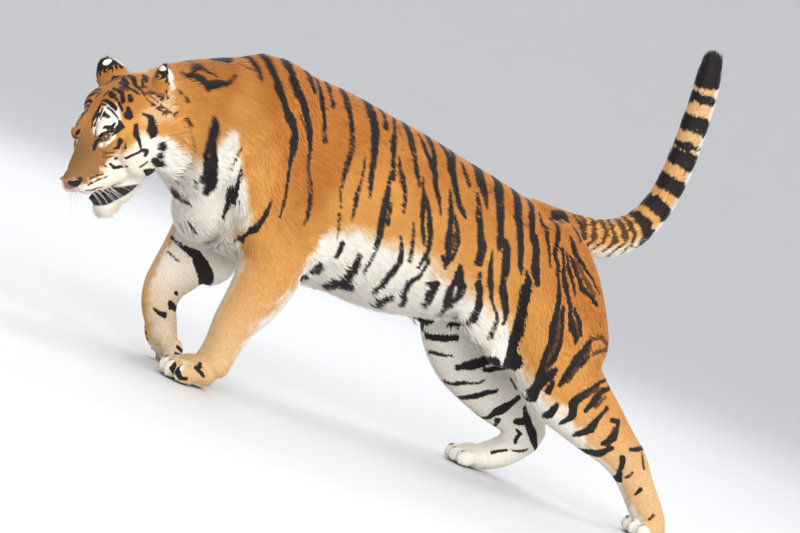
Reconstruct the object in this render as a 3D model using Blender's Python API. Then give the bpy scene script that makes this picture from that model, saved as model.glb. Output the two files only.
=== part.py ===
"""A walking tiger as a still, life-size model, in metres.

The tiger faces -X and +Z is up; its left side is at -Y. The body is modelled whole from
tubes carried along bones and from muscle and pad ellipsoids, and is then parted by thin cuts
where a person would name its parts. The forms give the outline out to the tips of the coat.
"""

import math

import bmesh
import bpy
import numpy as np
from mathutils import Matrix, Vector

# ------------------------------------------------------------------ driving sizes, in metres

GAP = 0.0003                # clearance between neighbouring solids
SOLE = 0.0                  # level of the flats under the feet
BODY_VOXEL = 0.010          # grain of the fused body, head and paws
HEAD_VOXEL = 0.0055
PAW_VOXEL = 0.0050
BODY_TRIANGLES = 1850
HEAD_TRIANGLES = 1120
PAW_TRIANGLES = 335

HEAD_SIZE = 1.06            # 1 is a head of 0.37 m from nose to nape
NOSE_TIP = Vector((-1.105, -0.200, 0.412))
HEAD_YAW = math.radians(33.5)       # turned to its left, towards -Y
HEAD_PITCH = math.radians(40.7)     # nose down
HEAD_ROLL = math.radians(18.0)      # left ear up

EYE_RADIUS = 0.0185
EYE_PLACE = (0.124, 0.049, 0.062)   # behind, beside and above the nose tip
EAR_PLACE = (0.322, 0.094, 0.110)
EAR_HEIGHT = 0.088           # from its buried root to its tip
EAR_WIDTH = 0.038            # radius of its cup
EAR_ROOT = 0.022             # depth of its root

FORE_PAW = 0.073            # half-width of a fore paw
HIND_PAW = 0.062
CLAW_RADIUS = 0.0042

# A station is the centre of a section and its half-sizes: x, y, z, sideways, and along the
# section's own two ways: up and down on the spine, back and front on a leg.
TRUNK = [
    (-0.700, 0.000, 0.600, 0.105, 0.190, 0.180),
    (-0.620, 0.000, 0.628, 0.160, 0.283, 0.258),
    (-0.500, 0.000, 0.620, 0.182, 0.293, 0.272),
    (-0.350, 0.000, 0.610, 0.194, 0.297, 0.270),
    (-0.200, 0.000, 0.602, 0.203, 0.289, 0.252),
    (-0.050, 0.000, 0.600, 0.202, 0.276, 0.252),
    (0.080, 0.000, 0.605, 0.186, 0.253, 0.232),
    (0.200, 0.000, 0.615, 0.168, 0.229, 0.212),
    (0.320, 0.000, 0.630, 0.155, 0.193, 0.190),
    (0.430, 0.000, 0.640, 0.138, 0.150, 0.160),
    (0.520, 0.000, 0.630, 0.100, 0.105, 0.120),
]
NECK = [
    (-0.480, 0.000, 0.660, 0.160, 0.225, 0.250),
    (-0.600, 0.000, 0.668, 0.165, 0.232, 0.238),
    (-0.700, -0.005, 0.668, 0.158, 0.226, 0.212),
    (-0.780, -0.020, 0.662, 0.146, 0.200, 0.178),
    (-0.860, -0.050, 0.640, 0.138, 0.150, 0.150),
    (-0.930, -0.085, 0.605, 0.125, 0.120, 0.125),
]
TAIL = [
    (0.330, 0.000, 0.745, 0.078, 0.085, 0.085),
    (0.420, 0.000, 0.762, 0.062, 0.066, 0.066),
    (0.510, 0.000, 0.778, 0.051, 0.053, 0.053),
    (0.600, 0.000, 0.802, 0.047, 0.048, 0.048),
    (0.675, 0.000, 0.852, 0.046, 0.047, 0.047),
    (0.722, 0.000, 0.930, 0.045, 0.046, 0.046),
    (0.740, 0.000, 1.020, 0.044, 0.045, 0.045),
    (0.742, 0.000, 1.110, 0.043, 0.043, 0.043),
    (0.737, 0.000, 1.200, 0.041, 0.041, 0.041),
    (0.728, 0.000, 1.290, 0.038, 0.038, 0.038),
    (0.716, 0.000, 1.370, 0.034, 0.034, 0.034),
    (0.702, 0.000, 1.425, 0.026, 0.026, 0.026),
]
LEFT_FORELEG = [
    (-0.500, -0.085, 0.800, 0.060, 0.085, 0.075),
    (-0.550, -0.108, 0.700, 0.076, 0.120, 0.095),
    (-0.575, -0.120, 0.600, 0.082, 0.140, 0.100),
    (-0.525, -0.128, 0.500, 0.078, 0.150, 0.080),
    (-0.440, -0.128, 0.410, 0.072, 0.112, 0.098),
    (-0.436, -0.124, 0.330, 0.068, 0.094, 0.092),
    (-0.448, -0.118, 0.260, 0.061, 0.080, 0.080),
    (-0.464, -0.110, 0.190, 0.054, 0.062, 0.066),
    (-0.470, -0.105, 0.125, 0.052, 0.054, 0.054),
    (-0.480, -0.102, 0.070, 0.056, 0.054, 0.050),
]
RIGHT_FORELEG = [
    (-0.510, 0.085, 0.790, 0.060, 0.085, 0.075),
    (-0.570, 0.108, 0.690, 0.076, 0.110, 0.095),
    (-0.600, 0.122, 0.590, 0.082, 0.120, 0.100),
    (-0.570, 0.130, 0.490, 0.080, 0.125, 0.095),
    (-0.545, 0.132, 0.400, 0.074, 0.110, 0.098),
    (-0.552, 0.132, 0.325, 0.068, 0.095, 0.096),
    (-0.575, 0.130, 0.258, 0.060, 0.074, 0.082),
    (-0.594, 0.128, 0.200, 0.054, 0.056, 0.066),
    (-0.590, 0.126, 0.150, 0.053, 0.050, 0.054),
    (-0.560, 0.124, 0.100, 0.054, 0.044, 0.045),
]
LEFT_HIND_LEG = [
    (0.330, -0.080, 0.700, 0.085, 0.150, 0.120),
    (0.400, -0.108, 0.610, 0.098, 0.175, 0.130),
    (0.455, -0.125, 0.510, 0.098, 0.190, 0.135),
    (0.505, -0.135, 0.420, 0.090, 0.190, 0.130),
    (0.570, -0.138, 0.345, 0.078, 0.160, 0.115),
    (0.660, -0.138, 0.305, 0.069, 0.122, 0.100),
    (0.750, -0.136, 0.272, 0.060, 0.095, 0.090),
    (0.830, -0.133, 0.240, 0.053, 0.070, 0.076),
    (0.905, -0.130, 0.196, 0.049, 0.062, 0.064),
    (0.965, -0.128, 0.140, 0.046, 0.056, 0.054),
    (1.030, -0.126, 0.080, 0.046, 0.054, 0.050),
    (1.068, -0.125, 0.048, 0.050, 0.045, 0.042),
]
RIGHT_HIND_LEG = [
    (0.280, 0.080, 0.690, 0.085, 0.150, 0.110),
    (0.300, 0.110, 0.590, 0.098, 0.190, 0.130),
    (0.315, 0.128, 0.480, 0.098, 0.190, 0.140),
    (0.335, 0.136, 0.390, 0.088, 0.165, 0.130),
    (0.390, 0.140, 0.312, 0.078, 0.130, 0.108),
    (0.470, 0.140, 0.265, 0.070, 0.106, 0.096),
    (0.560, 0.140, 0.226, 0.062, 0.090, 0.084),
    (0.640, 0.138, 0.194, 0.055, 0.074, 0.070),
    (0.690, 0.136, 0.156, 0.051, 0.070, 0.058),
    (0.668, 0.134, 0.108, 0.050, 0.054, 0.054),
    (0.622, 0.132, 0.068, 0.051, 0.048, 0.048),
    (0.580, 0.131, 0.044, 0.053, 0.042, 0.042),
]

# The skull's sections, from the nose back: behind the nose tip, above it, and half-sizes
# sideways, up and down.
SKULL = [
    (0.023, -0.019, 0.031, 0.024, 0.030),
    (0.050, -0.012, 0.044, 0.037, 0.036),
    (0.085, -0.004, 0.053, 0.050, 0.042),
    (0.115, 0.004, 0.064, 0.060, 0.054),
    (0.145, 0.014, 0.084, 0.072, 0.070),
    (0.180, 0.022, 0.106, 0.090, 0.086),
    (0.220, 0.028, 0.118, 0.104, 0.098),
    (0.260, 0.030, 0.122, 0.112, 0.104),
    (0.300, 0.026, 0.118, 0.112, 0.106),
    (0.340, 0.016, 0.104, 0.104, 0.100),
]
JAW = [
    (0.066, -0.090, 0.028, 0.010, 0.026),
    (0.094, -0.088, 0.036, 0.014, 0.040),
    (0.125, -0.078, 0.048, 0.020, 0.044),
    (0.165, -0.062, 0.068, 0.036, 0.044),
    (0.210, -0.045, 0.088, 0.045, 0.052),
]

# ------------------------------------------------------------------ the head's own axes

turn = Vector((-math.cos(HEAD_YAW), -math.sin(HEAD_YAW), 0.0))
left = Vector((math.sin(HEAD_YAW), -math.cos(HEAD_YAW), 0.0))
FORWARD = turn * math.cos(HEAD_PITCH) - Vector((0, 0, math.sin(HEAD_PITCH)))
crown = Vector((0, 0, math.cos(HEAD_PITCH))) + turn * math.sin(HEAD_PITCH)
LEFT = left * math.cos(HEAD_ROLL) + crown * math.sin(HEAD_ROLL)
UP = crown * math.cos(HEAD_ROLL) - left * math.sin(HEAD_ROLL)


def in_head(behind, beside, above):
    """A point given behind, beside (left is positive) and above the nose tip."""
    return NOSE_TIP + HEAD_SIZE * (beside * LEFT + above * UP - behind * FORWARD)


# The plane that parts the head from the neck.
NAPE_POINT = in_head(0.36, 0.0, 0.0)
NAPE_WAY = Vector((-0.80, -0.35, -0.48)).normalized()


# ------------------------------------------------------------------ forms


def new_object(name, mesh):
    thing = bpy.data.objects.new(name, mesh)
    bpy.context.scene.collection.objects.link(thing)
    return thing


def smooth_rows(rows, count):
    """Rows read along a Catmull-Rom curve that passes through every given row."""
    rows = np.array(rows, dtype=float)
    steps = np.linalg.norm(np.diff(rows[:, :3], axis=0), axis=1)
    at = np.concatenate([[0.0], np.cumsum(steps)])
    slope = np.gradient(rows, at, axis=0)
    where = np.linspace(0.0, at[-1], count)
    k = np.clip(np.searchsorted(at, where, side="right") - 1, 0, len(rows) - 2)
    span = (at[k + 1] - at[k])[:, None]
    t = (where - at[k])[:, None] / span
    return (rows[k] * (2 * t**3 - 3 * t**2 + 1) + slope[k] * span * (t**3 - 2 * t**2 + t)
            + rows[k + 1] * (3 * t**2 - 2 * t**3) + slope[k + 1] * span * (t**3 - t**2))


def tube(rows, rings=28, sides=28, across=(0, 1, 0), rounding=(0.45, 0.78, 0.95)):
    """Carry an egg-shaped section along a path and round off both ends."""
    rows = smooth_rows(rows, rings)
    centre, wide, plus, minus = rows[:, :3], rows[:, 3], rows[:, 4], rows[:, 5]
    along = np.gradient(centre, axis=0)
    along /= np.linalg.norm(along, axis=1)[:, None]
    side = np.array(across) - along * (along @ np.array(across))[:, None]
    side /= np.linalg.norm(side, axis=1)[:, None]
    upward = np.cross(along, side)
    angle = np.linspace(0.0, 2 * math.pi, sides, endpoint=False)
    c, s = np.cos(angle)[None, :, None], np.sin(angle)[None, :, None]
    tall = np.where(s > 0, plus[:, None, None], minus[:, None, None])
    ring = side[:, None] * wide[:, None, None] * c + upward[:, None] * tall * s

    def cap(end, sign):
        reach = 0.7 * min(wide[end], plus[end], minus[end])
        for t in rounding[::sign]:
            yield centre[end] + along[end] * sign * reach * t + ring[end] * math.sqrt(1 - t * t)

    loops = [*cap(0, -1), *(centre[:, None] + ring), *cap(-1, 1)]
    solid = bmesh.new()
    made = [[solid.verts.new(p) for p in loop] for loop in loops]
    for a, b in zip(made, made[1:]):
        for i in range(sides):
            j = (i + 1) % sides
            solid.faces.new((a[i], a[j], b[j], b[i]))
    solid.faces.new(made[0][::-1])
    solid.faces.new(made[-1])
    bmesh.ops.recalc_face_normals(solid, faces=solid.faces)
    return solid


def ball(centre, radii, axes=None, fine=3):
    """An ellipsoid with its half-sizes along three axes."""
    solid = bmesh.new()
    bmesh.ops.create_icosphere(solid, subdivisions=fine, radius=1.0)
    frame = Matrix.Identity(3) if axes is None else Matrix(axes).transposed()
    place = Matrix.Translation(Vector(centre)) @ frame.to_4x4() @ Matrix.Diagonal((*radii, 1))
    bmesh.ops.transform(solid, matrix=place, verts=solid.verts)
    bmesh.ops.recalc_face_normals(solid, faces=solid.faces)
    return solid


def head_ball(behind, beside, above, radii):
    """An ellipsoid in the head, its half-sizes along the head's own axes."""
    return ball(in_head(behind, beside, above), [HEAD_SIZE * r for r in radii],
                (FORWARD, LEFT, UP))


def head_tube(rows):
    """A tube along the head, from sections given behind and above the nose tip."""
    placed = []
    for behind, above, wide, up, down in rows:
        sizes = [HEAD_SIZE * half for half in (wide, up, down)]
        placed.append((*in_head(behind, 0.0, above), *sizes))
    return tube(placed, across=tuple(-LEFT))


def settle(thing):
    """Turn an object's modifiers into plain mesh."""
    mesh = bpy.data.meshes.new_from_object(
        thing.evaluated_get(bpy.context.evaluated_depsgraph_get()))
    thing.modifiers.clear()
    thing.data = mesh


def triangles(thing):
    return sum(len(face.vertices) - 2 for face in thing.data.polygons)


def fuse(name, forms, voxel, rounds, budget):
    """Join overlapping forms into one smooth skin of about so many triangles."""
    mesh = bpy.data.meshes.new(name)
    joined = bmesh.new()
    for form in forms:
        form.to_mesh(mesh)
        joined.from_mesh(mesh)
        form.free()
    joined.to_mesh(mesh)
    joined.free()
    thing = new_object(name, mesh)
    grain = thing.modifiers.new("grain", "REMESH")
    grain.mode = "VOXEL"
    grain.voxel_size = voxel
    soften = thing.modifiers.new("soften", "SMOOTH")
    soften.factor = 0.5
    soften.iterations = rounds
    settle(thing)
    thin = thing.modifiers.new("thin", "DECIMATE")
    thin.ratio = budget / triangles(thing)
    settle(thing)
    return thing


# ------------------------------------------------------------------ cutting


def boolean(thing, cutter, operation):
    """Cut or keep what lies in the cutter, then drop the cutter."""
    cut = thing.modifiers.new("cut", "BOOLEAN")
    cut.operation = operation
    cut.solver = "EXACT"
    cut.object = cutter
    settle(thing)
    bpy.data.objects.remove(cutter)


def as_object(solid):
    mesh = bpy.data.meshes.new("cutter")
    solid.to_mesh(mesh)
    solid.free()
    return new_object("cutter", mesh)


def half_space(point, normal):
    """A large block whose one face lies at the point, on the side the normal shows."""
    solid = bmesh.new()
    bmesh.ops.create_cube(solid, size=4.0)
    turned = Vector(normal).to_track_quat("Z", "Y").to_matrix().to_4x4()
    place = Matrix.Translation(Vector(point)) @ turned @ Matrix.Translation((0, 0, 2.0))
    bmesh.ops.transform(solid, matrix=place, verts=solid.verts)
    return as_object(solid)


def split(thing, name, point, normal):
    """Split a solid at a plane: what lies beyond becomes a new solid."""
    normal = Vector(normal).normalized()
    beyond = new_object(name, thing.data.copy())
    boolean(beyond, half_space(Vector(point) + normal * GAP / 2, -normal), "DIFFERENCE")
    boolean(thing, half_space(Vector(point) - normal * GAP / 2, normal), "DIFFERENCE")
    return beyond


def trim(thing, point, normal):
    """Cut away what lies beyond a plane."""
    boolean(thing, half_space(point, normal), "DIFFERENCE")


def main_body_only(thing):
    """Drop the crumbs that a cut can leave beside the main body."""
    solid = bmesh.new()
    solid.from_mesh(thing.data)
    left_over, islands = set(solid.verts), []
    while left_over:
        island, edge = set(), [left_over.pop()]
        while edge:
            vert = edge.pop()
            island.add(vert)
            for link in vert.link_edges:
                other = link.other_vert(vert)
                if other in left_over:
                    left_over.discard(other)
                    edge.append(other)
        islands.append(island)
    islands.sort(key=len)
    for island in islands[:-1]:
        bmesh.ops.delete(solid, geom=list(island), context="VERTS")
    solid.to_mesh(thing.data)
    solid.free()


# ------------------------------------------------------------------ paws and claws


def paw_axes(forward):
    """Forward, sideways and the back of the paw, for a paw that points so, unrolled."""
    forward = Vector(forward).normalized()
    side = Vector((0, -1, 0))
    side = (side - forward * side.dot(forward)).normalized()
    return forward, side, forward.cross(side)


def toe_centres(centre, axes, size):
    """The four toes' middles: the inner two reach furthest forward."""
    forward, side, up = axes
    for step in (-1.5, -0.5, 0.5, 1.5):
        ahead = 0.052 if abs(step) < 1 else 0.034
        yield Vector(centre) + (forward * ahead + side * step * 0.0315 - up * 0.008) * size


def paw_forms(centre, axes, toe_axes, half_width):
    """The pads, knuckles and four toes of one paw."""
    forward, side, up = axes
    size = half_width / 0.070
    pad = Vector(centre) - forward * 0.012 * size + up * 0.004
    forms = [ball(pad, (0.062 * size, 0.060 * size, 0.044 * size), axes)]
    for toe in toe_centres(centre, axes, size):
        forms.append(ball(toe, (0.036 * size, 0.0185 * size, 0.030 * size), toe_axes))
        knuckle = toe - forward * 0.030 * size + up * 0.012 * size
        forms.append(ball(knuckle, (0.036 * size, 0.0180 * size, 0.026 * size), axes))
    return forms


def claw(toe, toe_axes, size, grow=0.0):
    """A sheathed claw: a thin curved horn that lies on the front of its toe."""
    forward, side, up = toe_axes
    rows = []
    for t in (0.0, 0.5, 1.0):
        at = toe + forward * (0.012 + 0.015 * t) * size + up * (0.0215 - 0.003 * t * t) * size
        radius = CLAW_RADIUS * (1 - 0.6 * t) + grow
        rows.append((*at, radius * 0.8, radius, radius))
    return tube(rows, 3, 4, tuple(side), rounding=(0.8,))


# ------------------------------------------------------------------ ears, eyes, nose, tongue


def ear_solid(beside_sign, grow=0.0):
    """A rounded ear: part of a cone's wall, open outwards and back, with a rounded rim."""
    foot = in_head(EAR_PLACE[0], EAR_PLACE[1] * beside_sign, EAR_PLACE[2])
    rise = (UP * 0.84 + LEFT * 0.36 * beside_sign - FORWARD * 0.32).normalized()
    opening = LEFT * 0.60 * beside_sign - FORWARD * 0.66
    opening = (opening - rise * opening.dot(rise)).normalized()
    across = rise.cross(opening)
    rows, columns = 6, 9
    spread = math.radians(80) + grow / EAR_WIDTH
    solid = bmesh.new()
    skins = []
    for wall in (1, -1):
        grid = []
        for i in range(rows):
            t = i / (rows - 1)
            line = []
            for j in range(columns):
                turn = spread * (2 * j / (columns - 1) - 1)
                height = EAR_HEIGHT * t * (1 - 0.42 * (turn / spread) ** 2)
                radius = EAR_WIDTH * math.sqrt(1 - (0.84 * t) ** 4)
                radius += wall * (0.0060 * (1 - 0.55 * t) + grow)
                place = rise * (height - EAR_ROOT + grow * (2 * t - 1))
                place += (across * math.sin(turn) - opening * math.cos(turn)) * radius
                line.append(solid.verts.new(foot + place * HEAD_SIZE))
            grid.append(line)
        skins.append(grid)
        for low, high in zip(grid, grid[1:]):
            for k in range(columns - 1):
                solid.faces.new((low[k], low[k + 1], high[k + 1], high[k]))
    outer, inner = skins
    rim = outer[0] + [row[-1] for row in outer[1:]] + outer[-1][-2::-1]
    rim += [row[0] for row in outer[-2:0:-1]]
    lining = inner[0] + [row[-1] for row in inner[1:]] + inner[-1][-2::-1]
    lining += [row[0] for row in inner[-2:0:-1]]
    for k in range(len(rim)):
        n = (k + 1) % len(rim)
        solid.faces.new((rim[k], rim[n], lining[n], lining[k]))
    bmesh.ops.recalc_face_normals(solid, faces=solid.faces)
    return solid


def eye_solid(beside_sign, grow=0.0):
    behind, beside, above = EYE_PLACE
    centre = in_head(behind, beside * beside_sign, above)
    return ball(centre, (EYE_RADIUS + grow,) * 3, fine=2)


def nose_solid(grow=0.0):
    """The nose leather: a rounded wedge, wide above and narrow below."""
    solid = bmesh.new()
    bmesh.ops.create_icosphere(solid, subdivisions=2, radius=1.0)
    for vert in solid.verts:
        a, b, c = vert.co
        width = (0.0245 + grow) * b * (1.0 + 0.42 * c)
        vert.co = in_head(0.011 - a * (0.011 + grow), width, (0.0175 + grow) * c - 0.010)
    bmesh.ops.recalc_face_normals(solid, faces=solid.faces)
    return solid


def tongue_solid(grow=0.0):
    """A flat tongue that lies in the lower jaw."""
    placed = []
    for behind, above, wide, thick in ((0.072, -0.078, 0.020, 0.004),
                                       (0.100, -0.074, 0.025, 0.006),
                                       (0.135, -0.066, 0.027, 0.007)):
        sizes = [HEAD_SIZE * (half + grow) for half in (wide, thick, thick)]
        placed.append((*in_head(behind, 0.0, above), *sizes))
    return tube(placed, 6, 12, tuple(-LEFT), rounding=(0.7,))


# ------------------------------------------------------------------ materials


def finish(name, colour, roughness, metallic=0.0):
    material = bpy.data.materials.new(name)
    material.use_nodes = True
    shader = material.node_tree.nodes["Principled BSDF"]
    shader.inputs["Base Color"].default_value = (*colour, 1.0)
    shader.inputs["Roughness"].default_value = roughness
    shader.inputs["Metallic"].default_value = metallic
    return material


def dress(thing, material):
    thing.data.materials.clear()
    thing.data.materials.append(material)
    thing.data.shade_smooth()


# ------------------------------------------------------------------ the tiger


def body_forms():
    """Trunk, neck, limbs and tail, and the muscles that swell over them."""
    forms = [tube(TRUNK, 40, 36), tube(NECK, 24, 32), tube(TAIL, 48, 20)]
    forms += [tube(rows, 40, 24) for rows in
              (LEFT_FORELEG, RIGHT_FORELEG, LEFT_HIND_LEG, RIGHT_HIND_LEG)]
    forms.append(ball((-0.345, -0.128, 0.470), (0.075, 0.062, 0.070)))      # left elbow
    forms.append(ball((-0.480, 0.132, 0.330), (0.070, 0.060, 0.085)))       # right elbow
    forms.append(ball((0.500, -0.085, 0.560), (0.115, 0.085, 0.165)))       # left buttock
    forms.append(ball((0.470, 0.085, 0.550), (0.115, 0.085, 0.165)))        # right buttock
    forms.append(ball((0.270, -0.118, 0.465), (0.110, 0.036, 0.095)))       # left flank fold
    forms.append(ball((0.360, -0.110, 0.390), (0.080, 0.040, 0.060)))
    forms.append(ball((0.180, 0.125, 0.455), (0.110, 0.036, 0.100)))        # right flank fold
    forms.append(ball((0.925, -0.130, 0.238), (0.030, 0.030, 0.040)))       # left heel
    forms.append(ball((0.715, 0.136, 0.180), (0.036, 0.032, 0.040)))        # right heel
    forms.append(ball((-0.640, 0.000, 0.480), (0.085, 0.120, 0.125)))       # breast
    return forms


def head_forms():
    """Skull, muzzle pads, brows, cheeks, ruff and lower jaw."""
    forms = [head_tube(SKULL), head_tube(JAW), tube(NECK, 24, 32)]
    for sign in (-1, 1):
        forms.append(head_ball(0.048, 0.026 * sign, -0.030, (0.040, 0.029, 0.027)))  # muzzle
        forms.append(head_ball(0.085, 0.040 * sign, -0.034, (0.042, 0.026, 0.030)))
        forms.append(head_ball(0.125, 0.048 * sign, -0.034, (0.045, 0.028, 0.034)))
        forms.append(head_ball(0.130, 0.046 * sign, 0.068, (0.030, 0.026, 0.014)))  # brow
        forms.append(head_ball(0.175, 0.034 * sign, 0.070, (0.055, 0.044, 0.034)))
        forms.append(head_ball(0.235, 0.046 * sign, 0.094, (0.060, 0.052, 0.038)))
        forms.append(head_ball(0.190, 0.080 * sign, -0.012, (0.072, 0.043, 0.070)))  # cheek
        forms.append(head_ball(0.250, 0.104 * sign, -0.035, (0.058, 0.046, 0.100)))  # ruff
        forms.append(head_ball(0.305, 0.084 * sign, 0.080, (0.040, 0.040, 0.042)))  # ear foot
    forms.append(head_ball(0.040, 0.0, -0.002, (0.044, 0.028, 0.020)))
    forms.append(head_ball(0.092, 0.0, -0.118, (0.040, 0.034, 0.032)))      # chin
    return forms


PAWS = {
    # centre of the pads, the way the paw points, the way the toes point, half-width, leg, and
    # the plane that parts the paw from the leg
    "forepaw_left": ((-0.530, -0.102, 0.036), (-1.0, -0.08, 0.0), (-1.0, -0.08, 0.0), FORE_PAW,
                     LEFT_FORELEG, (-0.472, -0.102, 0.098), (-0.25, 0, -1)),
    "forepaw_right": ((-0.548, 0.124, 0.0755), (0.50, 0.02, -0.86), (0.12, 0.02, -1.0), FORE_PAW,
                      RIGHT_FORELEG, (-0.590, 0.126, 0.150), (0.45, 0, -0.90)),
    "hindpaw_left": ((1.052, -0.125, 0.033), (-1.0, -0.06, 0.0), (-1.0, -0.06, 0.0), HIND_PAW,
                     LEFT_HIND_LEG, (1.040, -0.125, 0.080), (0.30, 0, -1)),
    "hindpaw_right": ((0.535, 0.131, 0.033), (-1.0, 0.06, 0.0), (-1.0, 0.06, 0.0), HIND_PAW,
                      RIGHT_HIND_LEG, (0.600, 0.131, 0.060), (-1, 0, -0.35)),
}


def in_body(x, y, z):
    return Vector((x, y, z))


def block(outline, near, far, place=in_body, grow=0.0):
    """A convex block with a side-view outline, between two distances across."""
    outline = np.array(outline)
    middle = outline.mean(axis=0)
    solid = bmesh.new()
    for y in (near - grow, far + grow):
        for corner in outline:
            away = corner - middle
            a, b = corner + away / np.linalg.norm(away) * grow * 1.6
            solid.verts.new(place(float(a), float(y), float(b)))
    bmesh.ops.convex_hull(solid, input=solid.verts)
    return as_object(solid)


# Blocks that take parts off the trunk: a side-view outline of (x, z), and two distances in Y.
BLOCKS = {
    "shoulder_left": ([(-0.69, 0.455), (-0.68, 0.66), (-0.62, 0.84), (-0.44, 0.86),
                       (-0.38, 0.66), (-0.28, 0.430)], -0.40, -0.105),
    "shoulder_right": ([(-0.72, 0.455), (-0.72, 0.66), (-0.64, 0.84), (-0.46, 0.86),
                        (-0.42, 0.66), (-0.38, 0.430)], 0.105, 0.40),
    "forearm_left": ([(-0.80, 0.450), (-0.62, 0.450), (-0.20, 0.425), (-0.20, -0.1),
                      (-0.80, -0.1)], -0.40, -0.050),
    "forearm_right": ([(-0.90, 0.450), (-0.62, 0.450), (-0.34, 0.425), (-0.34, -0.1),
                       (-0.90, -0.1)], 0.050, 0.40),
    "thigh_left": ([(0.26, -0.1), (0.27, 0.42), (0.36, 0.62), (0.72, 0.70), (1.3, 0.30),
                    (1.3, -0.1)], -0.40, -0.030),
    "thigh_right": ([(0.08, -0.1), (0.10, 0.38), (0.22, 0.60), (0.70, 0.68), (1.1, 0.30),
                     (1.1, -0.1)], 0.030, 0.40),
    "tail_root": ([(0.485, 0.700), (0.440, 0.900), (0.50, 1.6), (1.1, 1.6), (1.1, 0.72),
                   (0.62, 0.700)], -0.2, 0.2),
}

# Planes that part one length from the next: the solid, the name of what lies beyond, a point
# of the plane and its direction.
SPLITS = [
    ("thigh_left", "shank_left", (0.600, 0, 0.330), (0.90, 0, -0.43)),
    ("shank_left", "metatarsus_left", (0.885, 0, 0.212), (0.80, 0, -0.60)),
    ("thigh_right", "shank_right", (0.430, 0, 0.290), (0.90, 0, -0.43)),
    ("shank_right", "metatarsus_right", (0.640, 0, 0.130), (0.25, 0, -0.97)),
    ("tail_root", "tail_bend", (0.625, 0, 0.815), (0.85, 0, 0.52)),
    ("tail_bend", "tail_upper", (0.741, 0, 1.050), (0.0, 0, 1.0)),
    ("tail_upper", "tail_tip", (0.730, 0, 1.270), (-0.1, 0, 1.0)),
    ("trunk", "neck", (-0.700, 0, 0.66), (-1.0, 0, 0.0)),
]


def take_off(solid, name, outline, near, far, place=in_body):
    """Take what lies in a block off a solid, as a new solid with a thin gap between."""
    piece = new_object(name, solid.data.copy())
    boolean(piece, block(outline, near, far, place), "INTERSECT")
    boolean(solid, block(outline, near, far, place, GAP), "DIFFERENCE")
    main_body_only(piece)
    main_body_only(solid)
    return piece


def make_body():
    """The trunk, neck, tail and legs down to the ankles."""
    nodes = {"trunk": fuse("trunk", body_forms(), BODY_VOXEL, 10, BODY_TRIANGLES)}
    for name, (outline, near, far) in BLOCKS.items():
        nodes[name] = take_off(nodes["trunk"], name, outline, near, far)
    for solid, name, point, normal in SPLITS:
        nodes[name] = split(nodes[solid], name, point, normal)
        main_body_only(nodes[name])
        main_body_only(nodes[solid])
    trim(nodes["neck"], NAPE_POINT - NAPE_WAY * GAP, NAPE_WAY)
    return nodes


def make_head():
    """The skull and its flesh, the lower jaw, and what is let into them."""
    head = fuse("head", head_forms(), HEAD_VOXEL, 8, HEAD_TRIANGLES)
    trim(head, NAPE_POINT, -NAPE_WAY)
    jaw = take_off(head, "lower_jaw", [(-0.05, -0.20), (-0.05, -0.066), (0.08, -0.066),
                                       (0.150, -0.058), (0.185, -0.115), (0.185, -0.20)],
                   -0.15, 0.15, in_head)
    nodes = {"head": head, "lower_jaw": jaw}
    inset = [("nose", nose_solid, ()), ("ear_left", ear_solid, (1,)),
             ("ear_right", ear_solid, (-1,)), ("eye_left", eye_solid, (1,)),
             ("eye_right", eye_solid, (-1,))]
    for name, shape, side in inset:
        boolean(head, as_object(shape(*side, grow=GAP * 1.5)), "DIFFERENCE")
        nodes[name] = as_object(shape(*side))
    main_body_only(head)
    boolean(jaw, as_object(tongue_solid(GAP)), "DIFFERENCE")
    main_body_only(jaw)
    nodes["tongue"] = as_object(tongue_solid())
    boolean(nodes["tongue"], half_space(in_head(0.150, 0, 0), -FORWARD), "DIFFERENCE")
    return nodes


def make_paws(nodes):
    """Each paw with its claws, parted from its leg and cut flat underneath."""
    legs = {"forepaw_left": "forearm_left", "forepaw_right": "forearm_right",
            "hindpaw_left": "metatarsus_left", "hindpaw_right": "metatarsus_right"}
    for name, (centre, forward, toes_to, half_width, rows, point, normal) in PAWS.items():
        axes, toe_axes = paw_axes(forward), paw_axes(toes_to)
        ankle = tube(rows[-5:], 16, 24)
        forms = [*paw_forms(centre, axes, toe_axes, half_width), ankle]
        paw = fuse(name, forms, PAW_VOXEL, 4, PAW_TRIANGLES)
        normal = Vector(normal).normalized()
        trim(nodes[legs[name]], Vector(point) - normal * GAP / 2, normal)
        main_body_only(nodes[legs[name]])
        trim(paw, Vector(point) + normal * GAP / 2, -normal)
        trim(paw, (0, 0, SOLE), (0, 0, -1))
        main_body_only(paw)
        nodes[name] = paw
        size = half_width / 0.070
        for number, toe in enumerate(toe_centres(centre, axes, size), 1):
            boolean(paw, as_object(claw(toe, toe_axes, size, GAP)), "DIFFERENCE")
            nodes[f"claw_{name}_{number}"] = as_object(claw(toe, toe_axes, size))
        main_body_only(paw)


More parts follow.
